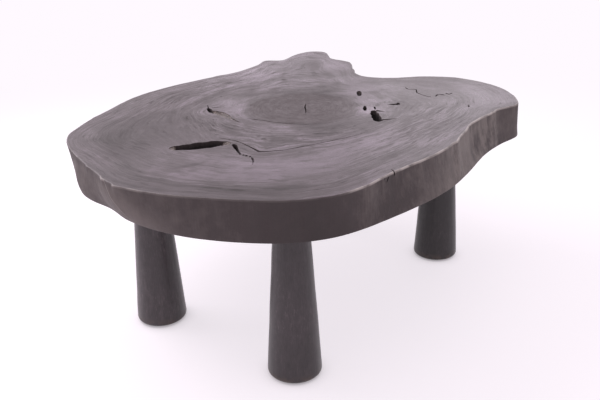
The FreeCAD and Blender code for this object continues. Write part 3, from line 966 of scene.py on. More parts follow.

    # Bare wood and painted highlight on the rubbed edges, then crumbs, and soot with painted shade, in the
    # cuts.
    chips = desk.noise(place, scale=26.0, detail=3.0)
    # A thin pale line along the rim: rubbed bare wood and painted highlight.
    rubbed = desk.times(desk.ease(edge, 0.0018, 0.0046, 1.0, 0.0), desk.ease(chips, 0.30, 0.58, 0.25, 1.0))
    colour = desk.mix(desk.times(rubbed, rim_wear), colour, settings.bare_wood_and_highlight)
    # A thin pale line down the nose's crest: worn bare wood and painted highlight.
    from_crest = desk.math("ABSOLUTE", nose_crest)
    crest = desk.times(desk.ease(from_crest, 0.0003, 0.0016, 1.0, 0.0), side_share)
    colour = desk.mix(desk.times(crest, desk.ease(chips, 0.2, 0.6, 0.1, 0.4)), colour, settings.bare_wood_and_highlight)
    hollow = desk.times(desk.ease(cut, 0.0003, 0.0012), desk.math("SUBTRACT", 1.0, burnt_and_shaded))
    specks = desk.noise(place, scale=210.0, detail=3.0, roughness=0.7)
    crumbs = desk.ramp(specks, (0.38, settings.soot), (0.52, settings.rot), (0.80, settings.bare_wood_and_highlight))
    colour = desk.mix(desk.times(hollow, 0.85), colour, crumbs)
    # Deep cuts darken with depth into soot: char, with painted shade.
    pit_shade_and_specks = desk.sum(desk.times(specks, 0.4), desk.ease(cut, 0.0, 0.022, 0.0, 0.6))
    shaded_pit_wall = desk.ramp(pit_shade_and_specks, (0.15, settings.wall_middle), (0.5, settings.soot))
    soot = desk.times(burnt_and_shaded, desk.ease(cut, 0.0, 0.0012))
    colour = desk.mix(soot, colour, shaded_pit_wall)

    # Sheen, and relief too fine to model.
    rough_top = desk.sum(0.35, about_middle(tone, -0.30), about_middle(patches, 0.15))
    rough_wall = desk.sum(0.66, about_middle(streaks, 0.3))
    roughness = desk.node("ShaderNodeMix", Factor=top_share, A=rough_wall, B=rough_top).outputs[0]
    roughness = desk.sum(roughness, desk.times(soot, 0.3))

    ring_height = desk.sum(desk.times(fine, 0.6), desk.times(bands, 0.8), desk.times(lines, 0.5))
    ring_height = desk.times(desk.times(ring_height, bold), top_share)
    wall_height = desk.sum(desk.times(desk.sum(hair, streaks), wear), desk.times(mottle, 0.5))
    wall_height = desk.times(wall_height, side_share)
    normal = desk.bump(desk.sum(ring_height, desk.times(wall_height, 2.0)), 0.0007, 0.8)
    normal = desk.bump(fibres, 0.00025, 0.6, normal)
    return desk.surface(colour, roughness, normal)


def charred_leg_material(settings):
    """Turned, charred wood: fine upright grain, pale flecks along it, and a foot rubbed brown."""
    desk = new_material("charred_leg")
    about_middle = desk.about_middle
    place = desk.place()
    foot, shade = map(desk.attribute, ("foot", "shade"))
    grain = desk.noise(desk.stretched(place, (190.0, 190.0, 7.0)), detail=4.0, roughness=0.65)
    pores = desk.noise(desk.stretched(place, (800.0, 800.0, 45.0)), detail=2.0)
    flecks = desk.noise(desk.stretched(place, (330.0, 330.0, 60.0)), detail=3.0, roughness=0.6)
    patches = desk.noise(place, scale=11.0, detail=4.0)
    mottle = desk.noise(desk.stretched(place, (75.0, 75.0, 40.0)), detail=5.0, roughness=0.7)
    # The leg's shade is its painted light and shade, from its corner's entry in the leg table.
    tone = desk.sum(
        0.42, shade, about_middle(grain, 0.25), about_middle(pores, 0.45), about_middle(patches, 0.5),
        about_middle(mottle, 0.7),
    )
    fleck_share = desk.ease(patches, 0.40, 0.62, 0.04, 0.28)
    tone = desk.sum(tone, desk.times(desk.ease(flecks, 0.56, 0.72), fleck_share))
    colour = desk.tones(tone, settings.dark_grain, settings.middle_grain, settings.pale_grain)
    rubbed = desk.times(foot, desk.ease(desk.noise(place, scale=70.0, detail=3.0), 0.35, 0.65))
    colour = desk.mix(desk.times(rubbed, 0.55), colour, settings.rubbed_foot)
    roughness = desk.sum(0.36, about_middle(pores, 0.25), about_middle(patches, 0.15))
    normal = desk.bump(desk.sum(grain, desk.times(pores, 0.6), desk.times(flecks, 0.4)), 0.00035, 0.7)
    return desk.surface(colour, roughness, normal)


def felt_material(settings):
    """Pressed felt: matted fibres, rough and without shine."""
    desk = new_material("dark_felt")
    place = desk.place()
    fibres = desk.noise(place, scale=900.0, detail=4.0, roughness=0.7, distortion=1.5)
    clumps = desk.noise(place, scale=120.0, detail=3.0)
    tone = desk.sum(desk.times(fibres, 0.6), desk.times(clumps, 0.4))
    pale = tuple(min(1.0, value * 2.2) for value in settings.felt)
    colour = desk.ramp(tone, (0.25, settings.felt), (0.75, pale))
    return desk.surface(colour, 0.95, desk.bump(tone, 0.0006), specular=0.15)


def zinc_material(settings):
    """Zinc-plated steel: a faint blue-grey cast, drawn lines round the bolt and dull patches."""
    desk = new_material("zinc_steel")
    place = desk.place()
    drawn = desk.noise(desk.stretched(place, (60.0, 60.0, 1400.0)), detail=2.0)
    dull = desk.noise(place, scale=130.0, detail=4.0)
    darker = tuple(value * 0.7 for value in settings.zinc)
    colour = desk.ramp(dull, (0.3, darker), (0.7, settings.zinc))
    roughness = desk.sum(0.28, desk.times(dull, 0.2), desk.times(drawn, 0.1))
    return desk.surface(colour, roughness, desk.bump(drawn, 0.00008), metallic=1.0)


def floor_material(settings):
    """A pale floor that takes the table's shadow, and far out turns into the white of the background."""
    desk = new_material("pale_floor")
    place = desk.place()
    seen = desk.seen()
    mottle = desk.noise(place, scale=2.2, detail=4.0)
    darker = tuple(value * 0.975 for value in settings.floor)
    pale = desk.ramp(mottle, (0.3, darker), (0.7, settings.floor))
    dimmed = desk.mix(desk.times(seen, settings.floor_dim), pale, (0.0, 0.0, 0.0))
    matt = desk.node("ShaderNodeBsdfDiffuse", Color=dimmed).outputs[0]
    # The glow fades close to the feet by ambient occlusion: a painted contact shadow.
    open_share = desk.node("ShaderNodeAmbientOcclusion", Distance=settings.foot_shadow).outputs["AO"]
    unshaded = desk.ease(open_share, 0.0, 0.9, 0.4, 1.0)
    glow_share = desk.times(desk.times(seen, settings.floor_glow), unshaded)
    lift = desk.node("ShaderNodeEmission", Color=settings.background, Strength=glow_share).outputs[0]
    near_floor = desk.joined("ShaderNodeAddShader", matt, lift).outputs[0]
    white = desk.node("ShaderNodeEmission", Color=settings.background, Strength=1.0).outputs[0]
    distance = desk.vector_math("LENGTH", place).outputs["Value"]
    far = desk.ease(distance, settings.floor_near, settings.floor_far)
    floor = desk.joined("ShaderNodeMixShader", desk.times(far, seen), near_floor, white)
    return desk.finished(floor.outputs[0])


def count_setting(name, description, default, least):
    """A setting that is a whole number."""
    return IntProperty(name=name, description=description, default=default, min=least)


def length_setting(name, description, metres):
    """A setting that is a length."""
    return FloatProperty(name=name, description=description, default=metres, unit="LENGTH")


def share_setting(name, description, default, most=1.0):
    """A setting that is a share or a strength."""
    span = {"min": 0.0, "max": most}
    return FloatProperty(name=name, description=description, default=default, subtype="FACTOR", **span)


def angle_setting(name, description, degrees):
    """A setting that is an angle."""
    return FloatProperty(name=name, description=description, default=math.radians(degrees), subtype="ANGLE")


def power_setting(name, description, watts):
    """A setting that is the power of a light."""
    return FloatProperty(name=name, description=description, default=watts, subtype="POWER")


def colour_setting(name, description, red, green, blue):
    """A setting that is a colour, given from 0 to 255 as a screen shows it."""
    shade = srgb(red, green, blue)
    return FloatVectorProperty(name=name, description=description, default=shade, subtype="COLOR")


class SlabSettings(bpy.types.PropertyGroup):
    """Sizes and colours of the slab."""

    columns: count_setting("Columns", "Grid columns round the live edge", 1040, 200)
    wall_rows: count_setting("Wall Rows", "Grid rows up the wall", 20, 4)
    rim_rows: count_setting("Rim Rows", "Grid rows round each eased rim", 5, 2)
    top_rows: count_setting("Top Rows", "Grid rows from the rim to the heart", 38, 4)
    underside_rows: count_setting("Underside Rows", "Grid rows under the slab", 6, 3)
    rim_ease: length_setting("Rim Ease", "Radius of the eased rims", 0.0024)
    nose_round: length_setting("Nose Round", "Extra radius under the nose", 0.004)
    swell: length_setting("Swell", "Height of the wall's broad swells", 0.0022)
    flute: length_setting("Flute", "Height of the upright flutes", 0.0010)
    fibre: length_setting("Fibre", "Height of the wall's fibres", 0.0003)
    contrast: share_setting("Contrast", "How far the tones of the top lie apart", 1.18, 3.0)
    ring_width: length_setting("Ring Width", "Usual width of a growth ring", 0.0034)
    pale_grain: colour_setting("Pale Grain", "Palest wood of the top", 148, 130, 145)
    middle_grain: colour_setting("Middle Grain", "Usual wood of the top", 81, 67, 72)
    dark_grain: colour_setting("Dark Grain", "Darkest wood of the top", 44, 31, 33)
    heartwood: colour_setting("Heartwood", "Warm wood round the pith", 77, 61, 64)
    wall_pale: colour_setting("Pale Wall", "Worn ridges of the wall", 141, 131, 128)
    wall_middle: colour_setting("Middle Wall", "Usual wood of the wall", 76, 66, 67)
    wall_dark: colour_setting("Dark Wall", "Hollows of the wall", 36, 31, 31)
    # Bare wood on the rubbed rim and the nose's crest, also painting their highlight, and the palest crumbs.
    bare_wood_and_highlight: colour_setting("Worn Edge", "Bare wood on the rim's edge", 204, 193, 189)
    rot: colour_setting("Rot", "Crumbled wood in shallow cuts", 104, 91, 83)
    # Soot inside the pockets and cracks, with their painted shade.
    soot: colour_setting("Soot", "Inside the pockets and cracks", 38, 33, 33)


class LegSettings(bpy.types.PropertyGroup):
    """Sizes and colours of the legs."""

    columns: count_setting("Columns", "Grid columns round a leg", 144, 24)
    rows: count_setting("Rows", "Grid rows up a leg", 96, 12)
    grain: length_setting("Grain", "Height of the upright grain", 0.00012)
    waver: length_setting("Waver", "How far the turning wavers", 0.0004)
    pale_grain: colour_setting("Pale Grain", "Palest wood of a leg", 114, 103, 106)
    middle_grain: colour_setting("Middle Grain", "Usual wood of a leg", 74, 66, 69)
    dark_grain: colour_setting("Dark Grain", "Darkest wood of a leg", 44, 38, 40)
    rubbed_foot: colour_setting("Rubbed Foot", "Brown round the foot", 104, 88, 80)


class FixingSettings(bpy.types.PropertyGroup):
    """Sizes and colours of the hanger bolts, the inserts and the felt glides."""

    columns: count_setting("Columns", "Grid columns round a bolt or insert", 48, 12)
    bolt_pitch: length_setting("Bolt Pitch", "Rise of the machine thread in a turn", 0.0015)
    wood_pitch: length_setting("Wood Pitch", "Rise of the wood thread in a turn", 0.004)
    thread_depth: length_setting("Thread Depth", "Depth of the machine thread", 0.0008)
    wood_depth: length_setting("Wood Depth", "Depth of the wood thread", 0.0013)
    collar: length_setting("Collar", "Plain length under the joint", 0.008)
    point: length_setting("Point", "Length of the bolt's point", 0.007)
    end_chamfer: length_setting("End Chamfer", "Taken off the machine end", 0.0012)
    sleeve_pitch: length_setting("Sleeve Pitch", "Rise of the insert's outer thread", 0.0035)
    sleeve_depth: length_setting("Sleeve Depth", "Depth of the insert's outer thread", 0.0011)
    flange_width: length_setting("Flange Width", "Flange past the insert's sleeve", 0.003)
    flange_thickness: length_setting("Flange Thickness", "Of the insert", 0.002)
    bore_radius: length_setting("Bore Radius", "Of the bolt's hole", 0.0051)
    hexagon: length_setting("Hexagon", "Across the flats of the insert's drive", 0.012)
    hexagon_depth: length_setting("Hexagon Depth", "Of the insert's drive", 0.008)
    fit: length_setting("Fit", "Room round an insert in its hole", 0.0001)
    end_room: length_setting("End Room", "Room past the end of a bolt", 0.003)
    zinc: colour_setting("Zinc", "Plated steel", 186, 190, 196)
    felt: colour_setting("Felt", "Felt under the feet", 46, 42, 42)


class StageSettings(bpy.types.PropertyGroup):
    """Floor, light and camera."""

    floor: colour_setting("Floor", "Pale floor", 228, 222, 227)
    background: colour_setting("Background", "White behind the table", 255, 249, 255)
    floor_glow: share_setting("Floor Glow", "How much of the background's white the near floor gains", 0.70)
    floor_dim: share_setting("Floor Dim", "How much less of its own light the near floor shows", 0.30)
    foot_shadow: length_setting("Foot Shadow", "How far from a foot it shades the floor", 0.05)
    floor_near: length_setting("Floor Near", "Where the floor starts to fade", 0.7)
    floor_far: length_setting("Floor Far", "Where the floor is all background", 2.4)
    floor_size: length_setting("Floor Size", "Side of the floor", 24.0)
    sky: share_setting("Sky", "Strength of the even light all round", 0.52, 10.0)
    key: power_setting("Key", "Power of the light behind the table's left", 30.0)
    overhead: power_setting("Overhead", "Power of the light over the table", 5.0)
    rim_light: power_setting("Rim Light", "Power of the light behind the table's right", 4.0)
    lens: FloatProperty(
        name="Lens", description="Focal length on a 36 mm wide sensor",
        default=45.52, subtype="DISTANCE_CAMERA",
    )
    camera_height: length_setting("Camera Height", "Above the floor", 0.913)
    camera_back: length_setting("Camera Back", "From the legs' middle, level", 1.6505)
    camera_bearing: angle_setting("Camera Bearing", "Way that the camera stands", 215.48)
    camera_heading: angle_setting("Camera Heading", "Way that it looks, level", 36.04)
    camera_tilt: angle_setting("Camera Tilt", "How far it looks down", 22.79)
    camera_roll: angle_setting("Camera Roll", "How far it leans over", -1.263)


def cut_away(base, cutters):
    """The base mesh less each closed cutter mesh, as a new mesh."""
    holder = bpy.data.objects.new("uncut_slab", base)
    bpy.context.collection.objects.link(holder)
    tools = []
    for cutter in cutters:
        tool = bpy.data.objects.new(cutter.name, cutter)
        bpy.context.collection.objects.link(tool)
        modifier = holder.modifiers.new(cutter.name, "BOOLEAN")
        modifier.operation = "DIFFERENCE"
        modifier.solver = "MANIFOLD"
        modifier.object = tool
        tools.append(tool)
    graph = bpy.context.evaluated_depsgraph_get()
    result = bpy.data.meshes.new_from_object(holder.evaluated_get(graph))
    for thing in (holder, *tools):
        mesh = thing.data
        bpy.data.objects.remove(thing)
        bpy.data.meshes.remove(mesh)
    return result


def soft_patches(places, patches):
    """The sum of soft ellipses: each adds its amount times a bell along and across its bearing."""
    total = np.zeros(len(places))
    for x, y, along, across, bearing, amount in patches:
        way = np.array((math.cos(math.radians(bearing)), math.sin(math.radians(bearing))))
        gap = places[:, :2] / MM - np.array((x, y))
        run = gap @ way / along
        aside = (gap[:, 1] * way[0] - gap[:, 0] * way[1]) / across
        total += amount * np.exp(-(run ** 2 + aside ** 2))
    return total


def near_rim_band(edge_distance, turns):
    """From 0 to 1: the darker band inside the near rim, darkest along its uneven inner border."""
    near_side = sum(smooth_step(*end, turns) for end in BAND_ENDS)
    inner = BAND_WIDTH + BAND_WAVER * edge_noise(turns, BAND_WAVERS, SEEDS["band"])
    fall = 0.35 + 0.65 * smooth_step(*BAND_DARKENS, edge_distance)
    return near_side * fall * smooth_step(inner, inner - BAND_SOFTNESS, edge_distance)


def cut_depths(places):
    """How deep the cut is that each place lies in: the depth at the nearest point of any cut."""
    cuts = {**POCKETS, **CRACKS, **SHALLOW_CUTS}.values()
    knots = np.array([point for points in cuts for point in points] + list(PIN_HOLES)) * MM
    gaps = np.hypot(places[:, None, 0] - knots[:, 0], places[:, None, 1] - knots[:, 1])
    return knots[np.argmin(gaps - knots[:, 2], axis=1), 3]


def paint_slab(mesh, edge, rim):
    """Stores on the slab the values that its material reads.

    A point holds its growth ring, its distance from the upper rim, its depth in a cut, the top's shade
    with its painted sheen and boldness of rings, the wall's relief, wear and paleness with their painted
    shade, the rim's wear and painted highlight, and its distance from the crest of the nose's ridge. A face
    holds its share of soot and painted shade.
    """
    places = read_places(mesh.vertices, "co")
    angle, radius = about_heart(places)
    rim_angle, rim_radius = about_heart(rim)
    from_rim = np.interp(angle, rim_angle, rim_radius, period=2 * np.pi) - radius
    below_top = edge.top - places[:, 2]
    edge_distance = np.maximum(from_rim, below_top)
    relief = radius - edge.reach(angle, places[:, 2])
    in_cut = (relief < -INSIDE_WALL) & (places[:, 2] > edge.top - DEEPEST_CUT)
    turns = edge.turn_at(angle)
    band = near_rim_band(edge_distance, turns)
    bold = CALM_GRAIN + soft_patches(places, BOLD_GRAIN) + BAND_BOLD * band
    height_share = (places[:, 2] - edge.bottom) / (edge.top - edge.bottom)
    layers = {
        "ring": ring_numbers(places, edge),
        "edge": edge_distance,
        "relief": np.where(relief > -INSIDE_WALL, np.clip(relief, -TONED_RELIEF, TONED_RELIEF), 0.0),
        "cut": np.where(in_cut, below_top, 0.0),
        # The wall's wear, with painted shade in the sudden drops of its table.
        "wear": by_turns(WALL_WEAR_AND_SHADE, turns),
        # The top's tone and stains, with painted sheen in some pale patches, less the near band.
        "shade": soft_patches(places, SHADES_AND_SHEEN + BLOTCHES) - BAND_SHADE * band,
        "bold": np.clip(bold, 0.0, BOLDEST),
        # The rim's rubbed bare wood and painted highlight.
        "rim_wear": by_turns(RIM_WEAR_AND_HIGHLIGHT, turns),
        # The wall's paleness by turns, with painted shade where it turns away from the light.
        "wall_shade": by_turns(WALL_TONE_AND_SHADE, turns),
        "nose_crest": crest_gap(NOSE_RIDGE, turns, height_share, edge.length),
    }
    for name, values in layers.items():
        store(mesh, name, "POINT", values)

    middles = read_places(mesh.polygons, "center")
    angle, radius = about_heart(middles)
    deep = radius < edge.reach(angle, middles[:, 2]) - FACE_INSIDE_WALL
    deep &= (middles[:, 2] > edge.top - DEEPEST_CUT) & (middles[:, 2] < edge.top - FACE_BELOW_TOP)
    # Soot and painted shade on the faces of the cuts, deeper with the cut.
    soot = np.zeros(len(middles))
    soot[deep] = smooth_step(*SOOT_AND_SHADE_DEPTHS, cut_depths(middles[deep]))
    store(mesh, "soot", "FACE", soot)


class TABLE_OT_carve_slab(bpy.types.Operator):
    """Carve the slab with its live edge, rot pockets and cracks"""

    bl_idname = "table.carve_slab"
    bl_label = "Carve Slab"

    def execute(self, context):
        settings = context.scene.table_slab
        edge = LiveEdge()
        rows, rim = slab_rows(edge, settings)
        base = closed_mesh("slab", rows)
        mesh = cut_away(base, self.cutters(edge, context.scene.table_fixings))
        if len(mesh.vertices) < settings.columns:
            raise RuntimeError("the slab was lost while its pockets were cut")
        smooth_shade(mesh, SLAB_CREASE)
        paint_slab(mesh, edge, rim)
        add_piece("charred_slab", mesh, charred_slab_material(settings), "charred_slab_wood", SLAB_NODE)
        return {"FINISHED"}

    def cutters(self, edge, fixings):
        """Closed meshes of the missing wood; the shells within one mesh keep clear of each other."""
        top = edge.top / MM
        shells = {}
        for group, cuts in (("pockets", POCKETS), ("cracks", CRACKS), ("shallow_cuts", SHALLOW_CUTS)):
            shells[group] = []
            for number, points in enumerate(cuts.values()):
                line = [(x, y, top, half_width, depth) for x, y, half_width, depth in points]
                shells[group].append(carved_line(line, DOWN, SEEDS["cuts"] + number))
        shells["pin_holes"] = []
        for number, (x, y, half, depth) in enumerate(PIN_HOLES):
            line = [(x + side * half, y + side * half, top, half, depth) for side in (-1, 0, 1)]
            shells["pin_holes"].append(carved_line(line, DOWN, SEEDS["pin_holes"] + number))
        shells["wall_cracks"] = []
        for number, points in enumerate(WALL_CRACKS):
            line = [(x, y, top + down, half_width, depth) for x, y, down, half_width, depth in points]
            inward = np.array((*(HEART - np.array(points[0][:2]) * MM), 0.0))
            inward /= np.linalg.norm(inward)
            shells["wall_cracks"].append(carved_line(line, inward, SEEDS["wall_cracks"] + number))
        shells["insert_holes"] = [self.insert_hole(corner, fixings) for corner in CORNERS]
        return [closed_mesh(group, *rows) for group, rows in shells.items()]

    def insert_hole(self, corner, fixings):
        """Rings up the stepped hole that an insert sits in, with room for the end of its bolt."""
        insert = f"threaded_insert_{corner}"
        centre, low, high = node_centre(insert)
        bolt_end = node_centre(f"hanger_bolt_{corner}")[2] + fixings.end_room
        flange = node_radius(insert) + fixings.fit
        sleeve = flange - fixings.flange_width
        step = low + fixings.flange_thickness
        roof = high + fixings.fit
        bore = fixings.bore_radius
        radii = np.array((flange, flange, sleeve, sleeve, bore, bore, bore * BORE_END))
        heights = np.array((low - CUT_OVERLAP, step, step, roof, roof, bolt_end, bolt_end + bore / 2))
        return lathe_rows(radii, heights, centre, fixings.columns)


class TABLE_OT_turn_legs(bpy.types.Operator):
    """Turn the four cone legs"""

    bl_idname = "table.turn_legs"
    bl_label = "Turn Legs"

    def execute(self, context):
        settings = context.scene.table_legs
        material = charred_leg_material(settings)
        for number, corner in enumerate(CORNERS):
            node = f"leg_{corner}"
            hole = self.bolt_hole(corner, context.scene.table_fixings, settings.columns)
            rows = np.concatenate((self.leg_rows(node, number, settings), hole))
            mesh = closed_mesh(f"turned_{node}", rows)
            smooth_shade(mesh, TURNED_CREASE)
            self.mark_leg(mesh, LEG_PAINTED_SHADES[corner])
            add_piece(f"turned_{node}", mesh, material, "charred_leg_wood", node)
        return {"FINISHED"}

    def mark_leg(self, mesh, shade):
        """Stores how near each point is to the round of the foot, from 0 to 1, and the leg's painted
        shading.
        """
        heights = read_places(mesh.vertices, "co")[:, 2]
        near = smooth_step(*FOOT_RUBBED, heights - heights.min())
        store(mesh, "foot", "POINT", near)
        store(mesh, "shade", "POINT", np.full_like(near, shade))

    def bolt_hole(self, corner, fixings, columns):
        """Rings from the mouth of the bolt's hole, in the top of the leg, down to its point."""
        centre, _, high = node_centre(f"leg_{corner}")
        bottom = node_centre(f"hanger_bolt_{corner}")[1] - fixings.fit
        bore = fixings.bore_radius
        heights = np.array((high, bottom + fixings.point, bottom))
        return lathe_rows((bore, bore, bore * BORE_END), heights, centre, columns)

    def leg_rows(self, node, number, settings):
        """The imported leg's radius at each height, with upright grain and a slight waver of the turning."""
        centre, low, high = node_centre(node)
        triangles = node_triangles(node)
        foot = low + FOOT_ROUND * (1 - np.cos(np.linspace(FOOT_FIRST, np.pi / 2, FOOT_RINGS)))
        shaft = np.linspace(low + SHAFT_START, high - SHAFT_END, settings.rows)
        neck = high - np.array(NECK_RINGS)
        heights = np.concatenate((foot, shaft, neck))
        survey = np.linspace(0.0, 2 * np.pi, LEG_SURVEY, endpoint=False) + SURVEY_TURN
        radii = np.array([section_radii(triangles, height, centre, survey).mean() for height in heights])
        turns = np.arange(settings.columns) / settings.columns
        climb = ((heights - low) / (high - low))[:, None]
        grain_seed, waver_seed = SEEDS["leg_grain"] + number, SEEDS["leg_waver"] + number
        grain = lattice_noise(turns * LEG_GRAINS + 0.6 * climb, climb * 5, LEG_GRAINS, grain_seed)
        waver = lattice_noise(turns * LEG_WAVERS, climb * 9, LEG_WAVERS, waver_seed)
        fade = smooth_step(0.0, LEG_FADE, climb) * smooth_step(0.0, LEG_FADE, 1 - climb)
        radii = radii[:, None] + fade * (settings.grain * grain + settings.waver * waver)
        return lathe_rows(radii, heights, centre, settings.columns)


class TABLE_OT_cut_glides(bpy.types.Operator):
    """Cut the felt glides under the feet"""

    bl_idname = "table.cut_glides"
    bl_label = "Cut Glides"

    def execute(self, context):
        material = felt_material(context.scene.table_fixings)
        for number, corner in enumerate(CORNERS):
            node = f"felt_glide_{corner}"
            centre, low, high = node_centre(node)
            radius = node_radius(node)
            climb = np.linspace(0.0, 1.0, GLIDE_ROWS)
            bulge = radius * (1 - GLIDE_EASE * (2 * climb - 1) ** 4)
            turns = np.arange(GLIDE_COLUMNS) / GLIDE_COLUMNS
            seed = SEEDS["fuzz"] + number
            fuzz = FUZZ * lattice_noise(turns * TUFTS, climb[:, None] * 7, TUFTS, seed)
            rows = lathe_rows(bulge[:, None] + fuzz, low + climb * (high - low), centre, GLIDE_COLUMNS)
            mesh = closed_mesh(f"pressed_{node}", rows)
            smooth_shade(mesh, TURNED_CREASE)
            add_piece(f"pressed_{node}", mesh, material, "dark_felt", node)
        return {"FINISHED"}


def thread_groove(heights, columns, pitch, depth, low, high):
    """How deep a thread is cut: a winding triangle wave of height less turn, eased in at both ends."""
    turns = np.arange(columns) / columns
    heights = np.asarray(heights)[:, None]
    wave = np.abs(2.0 * ((heights / pitch - turns) % 1.0) - 1.0)
    return depth * wave * smooth_step(low, low + pitch, heights) * smooth_step(high, high - pitch, heights)


class TABLE_OT_thread_fixings(bpy.types.Operator):
    """Thread the hanger bolts and the inserts that they screw into"""

    bl_idname = "table.thread_fixings"
    bl_label = "Thread Fixings"

    def execute(self, context):
        settings = context.scene.table_fixings
        material = zinc_material(settings)
        for corner in CORNERS:
            bolt, insert = f"hanger_bolt_{corner}", f"threaded_insert_{corner}"
            bolt_mesh = closed_mesh(f"rolled_{bolt}", self.bolt_rows(bolt, insert, settings))
            insert_mesh = closed_mesh(f"cut_{insert}", self.insert_rows(insert, settings), hollow=True)
            for mesh, node in ((bolt_mesh, bolt), (insert_mesh, insert)):
                smooth_shade(mesh, THREAD_CREASE)
                add_piece(mesh.name, mesh, material, "zinc_steel", node)
        return {"FINISHED"}

    def bolt_rows(self, bolt, insert, settings):
        """Rings from the point up: a wood thread in the leg, a plain collar, then a machine thread."""
        centre, low, high = node_centre(bolt)
        radius = node_radius(bolt)
        joint = node_centre(insert)[1]
        collar = joint - settings.collar
        columns, wood_depth = settings.columns, settings.wood_depth
        wood = np.linspace(low, collar, WOOD_ROWS)
        taper = np.clip((wood - low) / settings.point, POINT_SHARE, 1.0)[:, None]
        thread_start = low + settings.point
        wood_cut = thread_groove(wood, columns, settings.wood_pitch, wood_depth, thread_start, collar)
        wood_radii = (radius - wood_depth) * taper + np.where(taper < 1.0, 0.0, wood_cut * THREAD_KEPT)
        machine = np.linspace(collar, high, MACHINE_ROWS)
        end = radius - np.maximum(0.0, machine - (high - settings.end_chamfer))
        machine_cut = thread_groove(
            machine, columns, settings.bolt_pitch, settings.thread_depth, joint, high,
        )
        radii = np.concatenate((wood_radii, end[:, None] - machine_cut))
        return lathe_rows(radii, np.concatenate((wood, machine)), centre, columns)

    def insert_rows(self, insert, settings):
        """Rings once round the sleeve's section: under the flange, up the thread, down bore and hexagon."""
        centre, low, high = node_centre(insert)
        flange = node_radius(insert)
        body = flange - settings.flange_width
        step = low + settings.flange_thickness
        mouth = low + settings.hexagon_depth
        columns = settings.columns
        outside = np.linspace(step, high, SLEEVE_ROWS)
        groove = thread_groove(outside, columns, settings.sleeve_pitch, settings.sleeve_depth, step, high)
        sixth = 2 * np.pi * ((np.arange(columns) / columns * 6) % 1.0 - 0.5) / 6
        hexagon = settings.hexagon / 2 / np.cos(sixth)
        level = np.ones((2, columns))
        bore = level * settings.bore_radius
        radii = np.concatenate((level * flange, body - groove, bore, level * hexagon))
        heights = np.concatenate(((low, step), outside, (high, mouth), (mouth, low)))
        return lathe_rows(radii, heights, centre, columns)


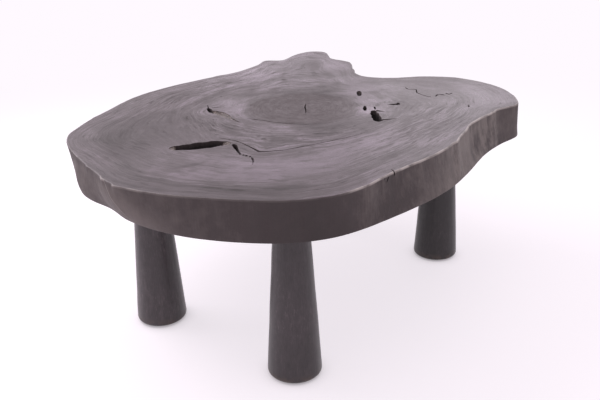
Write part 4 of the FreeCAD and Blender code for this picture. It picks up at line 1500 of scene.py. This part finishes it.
class TABLE_OT_set_stage(bpy.types.Operator):
    """Lay the pale floor, hang the lights and stand the camera"""

    bl_idname = "table.set_stage"
    bl_label = "Set Stage"

    def execute(self, context):
        settings = context.scene.table_stage
        self.lay_floor(settings)
        self.light_room(context, settings)
        self.stand_camera(context, settings)
        return {"FINISHED"}

    def lay_floor(self, settings):
        """A flat square that takes the shadow; it is part of the stage and not of the table."""
        half = settings.floor_size / 2
        corners = [(-half, -half, 0), (half, -half, 0), (half, half, 0), (-half, half, 0)]
        mesh = bpy.data.meshes.new("pale_floor")
        mesh.from_pydata(corners, [], [(0, 1, 2, 3)])
        mesh.materials.append(floor_material(settings))
        floor = bpy.data.objects.new("pale_floor", mesh)
        bpy.context.collection.objects.link(floor)

    def light_room(self, context, settings):
        """An even light all round with a white background in view, and the soft lights."""
        desk = NodeDesk(bpy.data.worlds.new("studio"))
        soft = desk.node("ShaderNodeBackground", Color=LAMP_COLOUR, Strength=settings.sky).outputs[0]
        white = desk.node("ShaderNodeBackground", Color=settings.background, Strength=1.0).outputs[0]
        room = desk.joined("ShaderNodeMixShader", desk.seen(), soft, white)
        context.scene.world = desk.finished(room.outputs[0], "ShaderNodeOutputWorld")
        for name, offset, size in LIGHTS:
            self.hang_light(name, Vector(offset), size, getattr(settings, name))

    def hang_light(self, name, offset, size, power):
        """A square soft light at an offset from the lights' target, turned to face it."""
        lamp = bpy.data.lights.new(name, "AREA")
        lamp.shape = "SQUARE"
        lamp.size = size
        lamp.energy = power
        lamp.color = LAMP_COLOUR
        holder = bpy.data.objects.new(name, lamp)
        holder.location = Vector(LIGHT_TARGET) + offset
        holder.rotation_euler = (-offset).to_track_quat("-Z", "Y").to_euler()
        bpy.context.collection.objects.link(holder)

    def stand_camera(self, context, settings):
        """The camera stands off the legs' middle, looks level along its heading, then tilts and rolls."""
        middle = np.mean([node_centre(f"leg_{corner}")[0] for corner in CORNERS], axis=0)
        place = Vector((
            middle[0] + settings.camera_back * math.cos(settings.camera_bearing),
            middle[1] + settings.camera_back * math.sin(settings.camera_bearing),
            settings.camera_height,
        ))
        level = Vector((math.cos(settings.camera_heading), math.sin(settings.camera_heading), 0.0))
        ahead = level * math.cos(settings.camera_tilt) - Vector((0, 0, math.sin(settings.camera_tilt)))
        side = Vector((level.y, -level.x, 0.0))
        upright = side.cross(ahead)
        right = side * math.cos(settings.camera_roll) + upright * math.sin(settings.camera_roll)
        above = upright * math.cos(settings.camera_roll) - side * math.sin(settings.camera_roll)
        turn = Matrix((right, above, -ahead)).transposed().to_4x4()
        lens = bpy.data.cameras.new("camera")
        lens.lens = settings.lens
        lens.sensor_width = SENSOR_WIDTH
        lens.sensor_fit = "HORIZONTAL"
        camera = bpy.data.objects.new("camera", lens)
        camera.matrix_world = Matrix.Translation(place) @ turn
        bpy.context.collection.objects.link(camera)
        context.scene.camera = camera
        context.scene.view_settings.view_transform = "Standard"


class TABLE_PT_builder(bpy.types.Panel):
    """The table's pieces, in the order that they are made"""

    bl_label = "Live Edge Coffee Table"
    bl_idname = "TABLE_PT_builder"
    bl_space_type = "VIEW_3D"
    bl_region_type = "UI"
    bl_category = "Table"

    def draw(self, context):
        for operator in OPERATORS:
            self.layout.operator(operator.bl_idname)


OPERATORS = (
    TABLE_OT_carve_slab,
    TABLE_OT_turn_legs,
    TABLE_OT_cut_glides,
    TABLE_OT_thread_fixings,
    TABLE_OT_set_stage,
)
SETTINGS = {
    "table_slab": SlabSettings,
    "table_legs": LegSettings,
    "table_fixings": FixingSettings,
    "table_stage": StageSettings,
}


def register():
    """Adds the settings, the operators and the panel to Blender."""
    for cls in (*SETTINGS.values(), *OPERATORS, TABLE_PT_builder):
        bpy.utils.register_class(cls)
    for name, cls in SETTINGS.items():
        setattr(bpy.types.Scene, name, PointerProperty(type=cls))


def unregister():
    """Takes them out again, in the opposite order."""
    for name in SETTINGS:
        delattr(bpy.types.Scene, name)
    for cls in (TABLE_PT_builder, *reversed(OPERATORS), *reversed(SETTINGS.values())):
        bpy.utils.unregister_class(cls)


def main():
    """Builds every piece and the stage."""
    register()
    bpy.ops.table.carve_slab()
    bpy.ops.table.turn_legs()
    bpy.ops.table.cut_glides()
    bpy.ops.table.thread_fixings()
    bpy.ops.table.set_stage()


if __name__ == "__main__":
    main()
